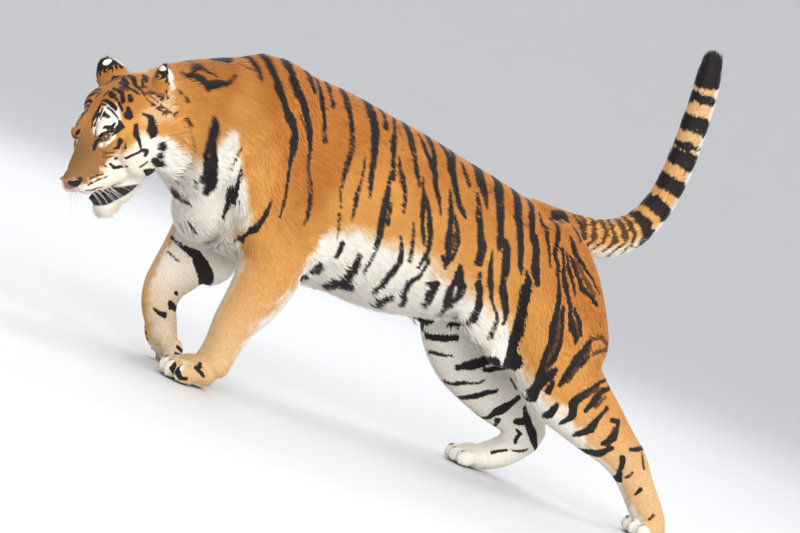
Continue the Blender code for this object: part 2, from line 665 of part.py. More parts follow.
def main():
    for thing in list(bpy.data.objects):
        bpy.data.objects.remove(thing)
    nodes = {**make_body(), **make_head()}
    make_paws(nodes)

    coat = finish("coat", (0.62, 0.30, 0.09), 0.85)
    horn = finish("claw horn", (0.16, 0.13, 0.11), 0.35)
    leather = finish("nose leather", (0.62, 0.33, 0.28), 0.45)
    wet = finish("eye", (0.42, 0.36, 0.16), 0.08)
    flesh = finish("tongue", (0.66, 0.30, 0.28), 0.40)
    special = {"nose": leather, "eye_left": wet, "eye_right": wet, "tongue": flesh}

    # The origin is under the middle of the whole animal, on the floor.
    points = [vert.co for thing in nodes.values() for vert in thing.data.vertices]
    low = Vector(map(min, zip(*points)))
    high = Vector(map(max, zip(*points)))
    shift = Matrix.Translation((-(low.x + high.x) / 2, -(low.y + high.y) / 2, -low.z))
    for name, thing in nodes.items():
        thing.name = name
        thing.data.transform(shift)
        dress(thing, horn if name.startswith("claw_") else special.get(name, coat))


if __name__ == "__main__":
    main()
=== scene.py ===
"""A walking tiger, dressed: skin, coat, eyes, nose, mouth and whiskers over its solid model.

The tiger faces -X, its left side is at -Y and +Z is up. Places are given in metres in the
plan, whose origin is on the floor; SHIFT carries the plan onto the model. One skin follows the
same sections as the model and lies inside it by the depth of the coat. Fur is solid tufts
rooted in the skin, which point the way the coat lies, and skin and tufts read the same marks.
"""

import math

import bpy
import numpy as np
from mathutils import Matrix, Vector


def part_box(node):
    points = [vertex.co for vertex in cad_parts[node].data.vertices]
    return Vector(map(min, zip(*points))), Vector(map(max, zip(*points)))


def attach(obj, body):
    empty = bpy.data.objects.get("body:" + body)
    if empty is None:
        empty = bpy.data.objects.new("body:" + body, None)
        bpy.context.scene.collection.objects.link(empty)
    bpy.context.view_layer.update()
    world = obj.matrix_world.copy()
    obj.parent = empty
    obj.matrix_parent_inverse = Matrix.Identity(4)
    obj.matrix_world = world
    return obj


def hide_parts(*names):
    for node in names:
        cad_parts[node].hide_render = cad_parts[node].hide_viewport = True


bl_info = {
    "name": "Walking Tiger",
    "version": (1, 0, 0),
    "blender": (4, 5, 0),
    "location": "3D View > Sidebar > Tiger",
    "description": "Skin, fur, eyes, nose, mouth and whiskers of a life-size tiger",
    "category": "Add Mesh",
}

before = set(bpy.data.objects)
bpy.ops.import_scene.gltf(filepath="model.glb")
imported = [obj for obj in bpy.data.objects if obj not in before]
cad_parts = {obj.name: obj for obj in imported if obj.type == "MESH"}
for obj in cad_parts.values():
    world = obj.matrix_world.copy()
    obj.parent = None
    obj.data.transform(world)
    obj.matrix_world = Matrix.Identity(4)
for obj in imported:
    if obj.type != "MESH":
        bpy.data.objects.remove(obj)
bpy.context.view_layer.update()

# ------------------------------------------------------------------ sizes, in metres

HEAD_SIZE = 1.06            # 1 is a head of 0.37 m from nose to nape
NOSE_TIP = np.array((-1.105, -0.200, 0.412))
HEAD_YAW = math.radians(33.5)       # turned to its left, towards -Y
HEAD_PITCH = math.radians(40.7)     # nose down
HEAD_ROLL = math.radians(18.0)      # left ear up
EYE_RADIUS = 0.0185
EYE_PLACE = (0.124, 0.049, 0.062)   # behind, beside and above the nose tip
EAR_PLACE = (0.322, 0.094, 0.110)
EAR_HEIGHT = 0.078
EAR_WIDTH = 0.042
EAR_ROOT = 0.022
FORE_PAW = 0.073            # half-width of a fore paw
HIND_PAW = 0.062
GRAIN = 0.0032    # voxel of the fused skin
SMOOTHINGS = 70       # rounds of smoothing of the fused skin
SKIN_TRIANGLES = 190000
THOUSAND = 1000      # tufts grown for each thousand asked for
LOCKS = 15 * THOUSAND       # long bent tufts of ruff, chin, belly and ears
COVER = 1.6                 # layers of tufts over the skin
BROADEST = 0.0022           # half-width of the widest tuft
PATCH = 0.0015              # half a tuft's patch of the unwrap
OVER_FLOOR = 0.0004         # how low a hair may hang
OUTSIDE = -0.03             # depth inside a stroke where no stroke is near
SOCKET = 0.72               # how near an eye's middle its skin may be, in eye radii
SOLE = 0.0006               # height of the soles
ROOTED = 0.0008             # how deep a tuft stands in the skin
WHISKER = 0.0007            # half the thickness of a whisker

# A section is its centre and half-sizes in millimetres: x, y, z, sideways, and along the
# section's own two ways: up and down on the spine, back and front on a leg.


def metres(*rows):
    """Rows of millimetres in metres."""
    return np.array(rows) / 1000


TRUNK = metres(
    (-700, 0, 600, 105, 190, 180), (-620, 0, 628, 160, 283, 258), (-500, 0, 620, 182, 293, 272),
    (-350, 0, 610, 194, 297, 270), (-200, 0, 602, 203, 289, 252), (-50, 0, 600, 202, 276, 252),
    (80, 0, 605, 186, 253, 232), (200, 0, 615, 168, 229, 212), (320, 0, 630, 155, 193, 190),
    (430, 0, 640, 138, 150, 160), (520, 0, 630, 100, 105, 120))
NECK = metres(
    (-480, 0, 660, 160, 225, 250), (-600, 0, 668, 165, 232, 238), (-700, -5, 668, 158, 226, 212),
    (-780, -20, 662, 146, 200, 178), (-860, -50, 640, 138, 150, 150),
    (-930, -85, 605, 125, 120, 125))
TAIL = metres(
    (330, 0, 745, 78, 85, 100), (420, 0, 762, 68, 70, 88), (510, 0, 778, 60, 60, 80),
    (600, 0, 802, 56, 55, 72), (675, 0, 852, 53, 52, 62), (722, 0, 930, 49, 50, 50),
    (740, 0, 1020, 47, 48, 48), (742, 0, 1110, 46, 47, 47), (737, 0, 1200, 45, 46, 46),
    (728, 0, 1290, 44, 44, 44), (716, 0, 1360, 41, 41, 41), (706, 0, 1412, 34, 34, 34))
LEFT_FORELEG = metres(
    (-500, -85, 800, 60, 85, 75), (-550, -108, 700, 76, 120, 95), (-575, -120, 600, 82, 140, 100),
    (-525, -128, 500, 78, 150, 80), (-440, -128, 410, 72, 112, 98), (-436, -124, 330, 68, 94, 92),
    (-448, -118, 260, 61, 80, 80), (-464, -110, 190, 54, 62, 66), (-470, -105, 125, 52, 54, 54),
    (-480, -102, 70, 56, 54, 50))
RIGHT_FORELEG = metres(
    (-510, 85, 790, 60, 85, 75), (-570, 108, 690, 76, 110, 95), (-600, 122, 590, 82, 120, 100),
    (-570, 130, 490, 80, 125, 95), (-545, 132, 400, 74, 110, 98), (-552, 132, 325, 68, 95, 96),
    (-575, 130, 258, 60, 74, 82), (-594, 128, 200, 54, 56, 66), (-590, 126, 150, 53, 50, 54),
    (-560, 124, 100, 54, 44, 45))
LEFT_HIND_LEG = metres(
    (330, -80, 700, 85, 150, 120), (400, -108, 610, 98, 175, 130), (455, -125, 510, 98, 190, 135),
    (505, -135, 420, 90, 190, 130), (570, -138, 345, 78, 160, 115),
    (660, -138, 305, 69, 122, 100), (750, -136, 272, 60, 95, 90), (830, -133, 240, 53, 70, 76),
    (905, -130, 196, 49, 62, 64), (965, -128, 140, 46, 56, 54), (1030, -126, 80, 46, 54, 50),
    (1068, -125, 48, 50, 45, 42))
RIGHT_HIND_LEG = metres(
    (280, 80, 690, 85, 150, 110), (300, 110, 590, 98, 190, 130), (315, 128, 480, 98, 190, 140),
    (335, 136, 390, 88, 165, 130), (390, 140, 312, 78, 130, 108), (470, 140, 265, 70, 106, 96),
    (560, 140, 226, 62, 90, 84), (640, 138, 194, 55, 74, 70), (690, 136, 156, 51, 70, 58),
    (668, 134, 108, 50, 54, 54), (622, 132, 68, 51, 48, 48), (580, 131, 44, 53, 42, 42))
# The head's sections, from the nose back: behind the nose tip, above it, and half-sizes
# sideways, up and down.
SKULL = metres(
    (23, -19, 31, 24, 30), (50, -12, 44, 37, 36), (85, -4, 53, 50, 42), (115, 4, 64, 60, 54),
    (145, 14, 84, 72, 70), (180, 22, 106, 90, 86), (220, 28, 118, 104, 98),
    (260, 30, 122, 112, 104), (300, 26, 118, 112, 106), (340, 16, 104, 104, 100))
JAW = metres(
    (66, -90, 28, 10, 26), (94, -88, 36, 14, 43), (125, -84, 50, 24, 57), (165, -74, 64, 44, 62),
    (210, -45, 88, 45, 52))
TONGUE = metres(
    (82, -82.5, 15, 4.5, 4), (100, -81, 21, 6, 6), (130, -75, 26, 7, 8), (160, -66, 26, 6, 8))
CHAINS = {"trunk": TRUNK, "neck": NECK, "tail": TAIL, "foreleg_left": LEFT_FORELEG,
          "foreleg_right": RIGHT_FORELEG, "hindleg_left": LEFT_HIND_LEG,
          "hindleg_right": RIGHT_HIND_LEG}
CHAIN_NAMES = [*CHAINS, "head"]
LEGS = [name for name in CHAINS if "leg" in name]

# Muscles and joints that swell over the tubes: centre and half-sizes in millimetres.
SWELLINGS = metres(
    (-345, -128, 470, 75, 62, 70),          # left elbow
    (-480, 132, 330, 70, 60, 85),           # right elbow
    (500, -85, 560, 115, 85, 165),          # left buttock
    (470, 85, 550, 115, 85, 165),           # right buttock
    (270, -118, 465, 110, 36, 95),          # left flank fold
    (360, -110, 390, 80, 40, 60),
    (180, 125, 455, 110, 36, 100),          # right flank fold
    (905, -130, 228, 36, 32, 42),           # left heel
    (715, 136, 180, 36, 32, 40),            # right heel
    (-640, 0, 480, 85, 120, 125),           # breast
)
# The same in the head: behind, beside and above the nose tip, and half-sizes along the head's
# own axes. One that lies beside the middle has its twin on the other side.
HEAD_SWELLINGS = metres(
    (48, 26, -30, 40, 29, 27),              # muzzle pads
    (85, 40, -34, 42, 26, 30),
    (125, 48, -34, 45, 28, 34),
    (130, 46, 68, 30, 26, 14),              # brow
    (175, 34, 70, 55, 44, 34),
    (235, 46, 94, 60, 52, 38),
    (190, 80, -12, 72, 43, 70),             # cheek
    (250, 104, -35, 58, 46, 100),           # ruff
    (305, 84, 80, 40, 40, 42),              # foot of the ear
    (40, 0, -2, 44, 28, 20),                # bridge
    (92, 0, -118, 40, 34, 32),              # chin
)
PAWS = {
    # centre of the pads, the way the paw points, the way the toes point, and its half-width
    "foreleg_left": ((-0.530, -0.102, 0.036), (-1.0, -0.08, 0.0), (-1.0, -0.08, 0.0), FORE_PAW),
    "foreleg_right": ((-0.548, 0.124, 0.0755), (0.50, 0.02, -0.86), (0.12, 0.02, -1.0),
                      FORE_PAW),
    "hindleg_left": ((1.052, -0.125, 0.033), (-1.0, -0.06, 0.0), (-1.0, -0.06, 0.0), HIND_PAW),
    "hindleg_right": ((0.535, 0.131, 0.033), (-1.0, 0.06, 0.0), (-1.0, 0.06, 0.0), HIND_PAW),
}

# ------------------------------------------------------------------ the head's own axes


def unit(vectors):
    """The same ways with length 1."""
    vectors = np.asarray(vectors, float)
    return vectors / np.maximum(np.linalg.norm(vectors, axis=-1, keepdims=True), 1e-12)


turned = np.array((-math.cos(HEAD_YAW), -math.sin(HEAD_YAW), 0.0))
beside = np.array((math.sin(HEAD_YAW), -math.cos(HEAD_YAW), 0.0))
FORWARD = turned * math.cos(HEAD_PITCH) - np.array((0, 0, math.sin(HEAD_PITCH)))
crown = np.array((0, 0, math.cos(HEAD_PITCH))) + turned * math.sin(HEAD_PITCH)
LEFT = beside * math.cos(HEAD_ROLL) + crown * math.sin(HEAD_ROLL)
UP = crown * math.cos(HEAD_ROLL) - beside * math.sin(HEAD_ROLL)
HEAD_AXES = np.array((-FORWARD, LEFT, UP))


def in_head(behind, beside, above):
    """Plan places of points given behind, beside (left is positive) and above the nose tip."""
    local = np.stack(np.broadcast_arrays(behind, beside, above), axis=-1)
    return NOSE_TIP + HEAD_SIZE * local @ HEAD_AXES


def head_places(points):
    """Behind, beside and above the nose tip, for points of the plan."""
    return (points - NOSE_TIP) @ HEAD_AXES.T / HEAD_SIZE


def node_middle(name):
    low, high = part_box(name)
    return np.array((low + high) / 2)


# The plan's origin in the model, from where the model's own eyes stand.
SHIFT = (node_middle("eye_left") + node_middle("eye_right")) / 2 - in_head(
    EYE_PLACE[0], 0.0, EYE_PLACE[2])
SHIFT[2] = 0.0

# ------------------------------------------------------------------ shapes on grids


def ease(low, high, value):
    """0 at low and before, 1 at high and beyond, and a soft S between them."""
    t = np.clip((np.asarray(value, float) - low) / (high - low), 0.0, 1.0)
    return t * t * (3.0 - 2.0 * t)


def ripple(points, wave, seed):
    """Smooth noise between about -1 and 1: the sum of eight sine waves of random direction,
    each with a length near wave, and a phase bent by one more, over 3.2."""
    draw = np.random.default_rng(seed)
    ways = unit(draw.normal(size=(8, 3))) * draw.uniform(0.7, 1.5, (8, 1))
    phases = draw.uniform(0, 2 * math.pi, 8)
    value = np.zeros(len(points))
    for way, phase in zip(ways, phases):
        reach = points @ way * (2 * math.pi / wave)
        value += np.sin(reach + phase + 1.3 * np.sin(0.6 * reach + 2 * phase))
    return value / 3.2


def wander(points, wave, seed):
    """Two ripples side by side, to bend places in a plane."""
    return np.stack([ripple(points, wave, seed), ripple(points, wave, seed + 1)], -1)


def along_rows(rows, count):
    """Rows read at even distances along a smooth curve through every given row: cubic Hermite
    spans whose slopes are central differences."""
    rows = np.array(rows, dtype=float)
    steps = np.linalg.norm(np.diff(rows[:, :3], axis=0), axis=1)
    at = np.concatenate([[0.0], np.cumsum(steps)])
    slope = np.gradient(rows, at, axis=0)
    where = np.linspace(0.0, at[-1], count)
    k = np.clip(np.searchsorted(at, where, side="right") - 1, 0, len(rows) - 2)
    span = (at[k + 1] - at[k])[:, None]
    t = (where - at[k])[:, None] / span
    return (rows[k] * (2 * t**3 - 3 * t**2 + 1) + slope[k] * span * (t**3 - 2 * t**2 + t)
            + rows[k + 1] * (3 * t**2 - 2 * t**3) + slope[k + 1] * span * (t**3 - t**2))


def grid_faces(rings, sides):
    """Triangles between neighbouring closed loops of a grid of points, and over both ends."""
    i, j = np.meshgrid(np.arange(rings - 1), np.arange(sides), indexing="ij")
    k = (j + 1) % sides
    a, b, c, d = i * sides + j, i * sides + k, (i + 1) * sides + k, (i + 1) * sides + j
    fan = np.arange(1, sides - 1)
    first = np.stack([np.zeros_like(fan), fan + 1, fan], -1)
    last = np.stack([np.zeros_like(fan), fan, fan + 1], -1) + (rings - 1) * sides
    return np.concatenate([np.stack([a, b, c], -1).reshape(-1, 3),
                           np.stack([a, c, d], -1).reshape(-1, 3), first, last])


def sphere(rings, sides, gap):
    """Latitudes and longitudes of a ball's grid, from a gap off one pole to a gap off the
    other, and its three coordinates."""
    lat = np.linspace(-math.pi / 2 + gap, math.pi / 2 - gap, rings)[:, None]
    lon = np.linspace(0, 2 * math.pi, sides, endpoint=False)[None, :]
    return np.broadcast_arrays(np.cos(lat) * np.cos(lon), np.cos(lat) * np.sin(lon),
                               np.sin(lat))


def tube(rows, rings=28, sides=28, across=(0, 1, 0)):
    """An egg-shaped section carried along a path: at angle a a point lies cos a times the
    half-width sideways and sin a times the upper or lower half-height; ends are rounded."""
    rows = along_rows(rows, rings)
    centre, wide, plus, minus = rows[:, :3], rows[:, 3], rows[:, 4], rows[:, 5]
    along = unit(np.gradient(centre, axis=0))
    side = unit(np.array(across) - along * (along @ np.array(across))[:, None])
    upward = np.cross(along, side)
    angle = np.linspace(0.0, 2 * math.pi, sides, endpoint=False)
    c, s = np.cos(angle)[None, :, None], np.sin(angle)[None, :, None]
    tall = np.where(s > 0, plus[:, None, None], minus[:, None, None])
    ring = side[:, None] * wide[:, None, None] * c + upward[:, None] * tall * s
    loops = list(centre[:, None] + ring)
    for end, sign in ((0, -1), (-1, 1)):
        reach = 0.7 * min(wide[end], plus[end], minus[end])
        caps = [centre[end] + along[end] * sign * reach * t + ring[end] * math.sqrt(1 - t * t)
                for t in (0.45, 0.78, 0.95)]
        loops = caps[::-1] + loops if end == 0 else loops + caps
    return np.concatenate(loops), grid_faces(len(loops), sides)[:, ::-1]


def ball(centre, radii, axes=np.eye(3), rings=18, sides=28):
    """An ellipsoid: its loops are circles of latitude, scaled by half-sizes along three
    axes, from just off one pole to just off the other."""
    shape = np.stack(sphere(rings, sides, 0.02), -1).reshape(-1, 3)
    faces = grid_faces(rings, sides)
    points = np.asarray(centre) + (shape * radii) @ np.asarray(axes, float)
    return points, faces if np.linalg.det(axes) > 0 else faces[:, ::-1]


def head_ball(place, radii):
    """An ellipsoid in the head, its half-sizes along the head's own axes."""
    return ball(in_head(*place), HEAD_SIZE * np.array(radii), (-FORWARD, LEFT, UP))


def head_tube(rows, **ways):
    """A tube along the head, from sections given behind and above the nose tip."""
    placed = [(*in_head(behind, 0.0, above), *(HEAD_SIZE * half for half in sizes))
              for behind, above, *sizes in rows]
    return tube(placed, across=tuple(-LEFT), **ways)


def ear_ways(sign):
    """An ear's foot, the way it rises, the way it opens, and the way across it. The left ear
    is laid further back than the right one."""
    foot = in_head(EAR_PLACE[0], (EAR_PLACE[1] + 0.003 * sign) * sign,
                   EAR_PLACE[2] - (0.015 if sign > 0 else 0.0))
    rise = unit(UP * 0.80 + LEFT * 0.34 * sign - FORWARD * (0.62 if sign > 0 else 0.22))
    opening = LEFT * 0.50 * sign - FORWARD * 0.75 - UP * 0.25
    opening = unit(opening - rise * (opening @ rise))
    return foot, rise, opening, np.cross(rise, opening)


def ear_places(points):
    """How much a point belongs to an ear, how high on it (1 is the tip), how far across, and
    the way that ear opens."""
    part, high, wide = np.zeros((3, len(points)))
    opens = np.zeros_like(points)
    for sign in (1, -1):
        foot, rise, opening, across = ear_ways(sign)
        away = points - foot
        up = away @ rise / (EAR_HEIGHT * HEAD_SIZE)
        off = np.hypot(away @ opening, away @ across)
        here = (ease(0.0, 0.16, up) * ease(0.066, 0.054, off)
                * ease(0.020, 0.012, away @ opening))
        part = np.maximum(part, here)
        high = np.where(here > 0, up, high)
        wide = np.where(here > 0, away @ across / (EAR_WIDTH * HEAD_SIZE), wide)
        opens = np.where((here > 0)[:, None], opening, opens)
    return part, high, wide, opens


def ear(sign):
    """A cupped ear: a part of a cone's wall, open outwards and back. Across, it spans 80
    degrees either way; along, its radius falls as the root of 1 minus the height's fourth
    power, and its rim is lower at both edges."""
    foot, rise, opening, across = ear_ways(sign)
    t = np.linspace(0, 1, 18)[:, None, None]
    turn = np.linspace(-1, 1, 29)[None, :, None]
    angle = turn * math.radians(80)
    height = EAR_HEIGHT * t * (1 - 0.42 * turn**2)
    skins = []
    for wall in (1, -1):
        radius = EAR_WIDTH * np.sqrt(1 - (0.84 * t)**4) + wall * 0.0058 * (1 - 0.55 * t)
        place = rise * (height - EAR_ROOT)
        place = place + (across * np.sin(angle) - opening * np.cos(angle)) * radius
        skins.append(foot + place * HEAD_SIZE)
    # Rings that run out along the outer wall and back along the inner one close the shape.
    loop = np.concatenate([skins[0], skins[1][:, ::-1]], axis=1)
    rings, sides = loop.shape[:2]
    faces = grid_faces(rings, sides)[:-2 * (sides - 2)]
    i = np.arange(sides // 2 - 1)
    ends = []
    for base in (0, (rings - 1) * sides):
        a, b, c, d = base + i, base + i + 1, base + sides - 2 - i, base + sides - 1 - i
        ends += [np.stack([a, b, c], -1), np.stack([a, c, d], -1)]
    return loop.reshape(-1, 3), np.concatenate([faces, *ends])


def paw_forms(name):
    """The pad, knuckles and four toes of a paw, with the inner two furthest forward."""
    centre, forward, toes_to, half_width = PAWS[name]
    size = half_width / 0.070
    frames = []
    for way in (forward, toes_to):
        ahead = unit(way)
        side = unit(np.array((0, -1, 0)) - ahead * (np.array((0, -1, 0)) @ ahead))
        frames.append(np.array((ahead, side, np.cross(ahead, side))))
    (ahead, side, top), toe_frame = frames
    pad = np.array(centre) - ahead * 0.012 * size + top * 0.004
    forms = [ball(pad, np.array((0.062, 0.060, 0.044)) * size, frames[0])]
    for step in (-1.5, -0.5, 0.5, 1.5):
        reach = 0.052 if abs(step) < 1 else 0.034
        toe = np.array(centre) + (ahead * reach + side * step * 0.0315 - top * 0.008) * size
        knuckle = toe - ahead * 0.030 * size + top * 0.012 * size
        forms += [ball(toe, np.array((0.036, 0.0185, 0.030)) * size, toe_frame),
                  ball(knuckle, np.array((0.036, 0.0180, 0.026)) * size, frames[0])]
    return forms


def joined(forms):
    """One list of points and one of triangles from many forms."""
    starts = np.cumsum([0] + [len(points) for points, faces in forms])
    return (np.concatenate([points for points, faces in forms]),
            np.concatenate([faces + start for (points, faces), start in zip(forms, starts)]))


# ------------------------------------------------------------------ meshes


def new_object(name, points, faces, material=None):
    """An object at the origin with a mesh of triangles or quads given as arrays."""
    mesh = bpy.data.meshes.new(name)
    count, corners = faces.shape
    mesh.vertices.add(len(points))
    mesh.loops.add(count * corners)
    mesh.polygons.add(count)
    mesh.vertices.foreach_set("co", np.asarray(points, np.float32).ravel())
    mesh.loops.foreach_set("vertex_index", np.ascontiguousarray(faces, np.int32).ravel())
    mesh.polygons.foreach_set("loop_start", np.arange(0, count * corners, corners,
                                                      dtype=np.int32))
    mesh.update(calc_edges=True)
    mesh.shade_smooth()
    if material:
        mesh.materials.append(bpy.data.materials[material])
    thing = bpy.data.objects.new(name, mesh)
    bpy.context.scene.collection.objects.link(thing)
    return thing


def settle(thing):
    """Turn an object's modifiers into plain mesh."""
    mesh = bpy.data.meshes.new_from_object(
        thing.evaluated_get(bpy.context.evaluated_depsgraph_get()))
    thing.modifiers.clear()
    thing.data = mesh


def read_all(items, field, width, kind=np.float32):
    """One field of all of a mesh's items, as a row of numbers for each."""
    values = np.empty(len(items) * width, kind)
    items.foreach_get(field, values)
    return values.reshape(-1, width)


def mesh_points(mesh):
    return read_all(mesh.vertices, "co", 3).astype(float)


def mesh_normals(mesh):
    return read_all(mesh.vertex_normals, "vector", 3).astype(float)


def put_points(mesh, points):
    mesh.vertices.foreach_set("co", np.asarray(points, np.float32).ravel())
    mesh.update()


def put_values(mesh, values):
    """Named numbers or vectors on every point of a mesh."""
    for name, numbers in values.items():
        numbers = np.asarray(numbers, np.float32)
        kind, field = ("FLOAT", "value") if numbers.ndim == 1 else ("FLOAT_VECTOR", "vector")
        mesh.attributes.new(name, kind, "POINT").data.foreach_set(field, numbers.ravel())


def get_values(mesh, name):
    """The numbers or vectors of one name on a mesh's points."""
    layer = mesh.attributes[name]
    if layer.data_type == "FLOAT":
        return read_all(layer.data, "value", 1)[:, 0].astype(float)
    return read_all(layer.data, "vector", 3).astype(float)


def soften(values, edges, amount, rounds):
    """Move each point's value towards the mean of its neighbours, so many times over."""
    values = np.array(values, float)
    flat = values.reshape(len(values), -1)
    a = np.concatenate([edges[:, 0], edges[:, 1]])
    b = np.concatenate([edges[:, 1], edges[:, 0]])
    links = np.maximum(np.bincount(a, minlength=len(values)), 1)
    for _ in range(rounds):
        for axis in range(flat.shape[1]):
            mean = np.bincount(a, flat[b, axis], len(values)) / links
            flat[:, axis] += amount * (mean - flat[:, axis])
    return flat.reshape(values.shape)


# ------------------------------------------------------------------ regions of the body


def chain_stations():
    """For every chain: points along it in the plan, their mean radius, and the way on."""
    stations = {}
    for name, rows in CHAINS.items():
        read = along_rows(rows, 28)
        stations[name] = (read[:, :3], read[:, 3:].mean(axis=1),
                          unit(np.gradient(read[:, :3], axis=0)))
    skull = along_rows([(behind, 0.0, above - 0.012, wide, up, down)
                        for behind, above, wide, up, down in SKULL], 14)
    stations["head"] = (in_head(*skull[:, :3].T), HEAD_SIZE * skull[:, 3:].mean(axis=1),
                        np.repeat(-FORWARD[None], 14, axis=0))
    return stations


STATIONS = chain_stations()


def regions(points):
    """By chain name: how much of a point the chain owns, which falls off fast beyond the
    nearest one, and how far along it the point lies, from 0 to 1. Last, the nearest chain's
    number. Nearness is counted in the chains' own radii."""
    near = np.full((len(points), len(CHAIN_NAMES)), 1e9)
    where = np.zeros_like(near)
    for column, name in enumerate(CHAIN_NAMES):
        centres, radii, _ = STATIONS[name]
        for k, (centre, radius) in enumerate(zip(centres, radii)):
            away = np.linalg.norm(points - centre, axis=1) / radius
            better = away < near[:, column]
            near[better, column] = away[better]
            where[better, column] = k / (len(centres) - 1)
    behind = head_places(points)[:, 0]
    near[:, CHAIN_NAMES.index("head")] *= ((0.35 + 0.65 * ease(0.25, 0.34, behind))
                                           * (1 - 0.9 * ear_places(points)[0]))
    # Feet belong to their legs, whose radii are small.
    others = [column for column, name in enumerate(CHAIN_NAMES) if name not in LEGS]
    near[:, others] += 5.0 * ease(0.24, 0.14, points[:, 2])[:, None]
    share = np.exp(-7.0 * (near - near.min(axis=1, keepdims=True)))
    share = share / share.sum(axis=1, keepdims=True)
    return (dict(zip(CHAIN_NAMES, share.T)), dict(zip(CHAIN_NAMES, where.T)),
            near.argmin(axis=1))


def station_numbers(where, count):
    """The nearest station's number, for how far along a chain a point lies."""
    return np.clip((where * (count - 1)).round().astype(int), 0, count - 1)


def coat_flow(points, normals, share, where):
    """The way the coat lies: along each chain towards the tail, the feet and the tail's tip,
    back from the nose on the head, and sinking a little with its own weight."""
    flow = np.zeros_like(points)
    for name in CHAIN_NAMES:
        ways = STATIONS[name][2]
        way = ways[station_numbers(where[name], len(ways))].copy()
        if name == "neck":
            way = -way + np.array((0, 0, -0.45))
        elif name == "trunk":
            way = way + np.array((0, 0, -0.30))
        elif name in LEGS:
            way = way + np.array((0.30, 0, -0.20))
        elif name == "head":
            behind, beside, above = head_places(points).T
            low = ease(0.02, -0.06, above) * ease(0.05, 0.16, behind)
            side = np.sign(beside) * ease(0.0, 0.03, abs(beside))
            fan = ease(0.10, 0.02, behind) * ease(0.02, 0.0, above)
            chin = 1.1 * ease(-0.095, -0.125, above) * ease(-0.22, -0.18, above)
            brow = ease(0.05, 0.09, above) * ease(0.10, 0.14, behind)
            way = (-FORWARD[None] + LEFT * (side * (0.30 + 0.3 * low))[:, None]
                   - UP * (0.75 * low + 0.5 * fan)[:, None])
            way -= UP * chin[:, None]
            way += UP * (0.5 * brow)[:, None]
            ears, _, _, opens = ear_places(points)
            inner = ease(-0.1, 0.3, (normals * opens).sum(1))
            rising = UP - FORWARD * 0.35 + opens * (0.5 * inner)[:, None]
            way = way * (1 - ears)[:, None] + rising * ears[:, None]
        flow += way * share[name][:, None]
    flow -= normals * (flow * normals).sum(axis=1, keepdims=True)
    return unit(flow)


def coat_depth(points, normals, share, where):
    """Metres from the skin to the coat's outline: long on neck, belly and tail, short on the
    lower legs, and least on the face, ears and feet."""
    down = ease(-0.2, -0.9, normals[:, 2])
    behind, _, above = head_places(points).T
    head = 0.0022 + 0.010 * ease(0.13, 0.27, behind)
    head += 0.006 * ease(0.17, 0.25, behind) * ease(0.0, -0.06, above)
    head += 0.0035 * ease(-0.085, -0.10, above)
    head = head * (1 - 0.55 * ease(0.03, 0.07, above))
    ears = ear_places(points)[0]
    depths = {"trunk": 0.0085 + 0.008 * down, "neck": 0.0135 + 0.004 * down, "tail": 0.0095,
              "head": head * (1 - ears) + 0.0016 * ears}
    depth = np.zeros(len(points))
    for name in CHAIN_NAMES:
        here = depths.get(name)
        if here is None:
            here = 0.0080 - 0.0050 * ease(0.25, 0.75, where[name])
        depth += here * share[name]
    feet = ease(0.075, 0.055, points[:, 2])
    return depth * (1 - feet) + np.minimum(depth, 0.0032) * feet


# ------------------------------------------------------------------ marks
#
# A stroke is a row of stations: two places in centimetres and a half-width in millimetres.
# On the body the places are X and Z, seen from the left side.

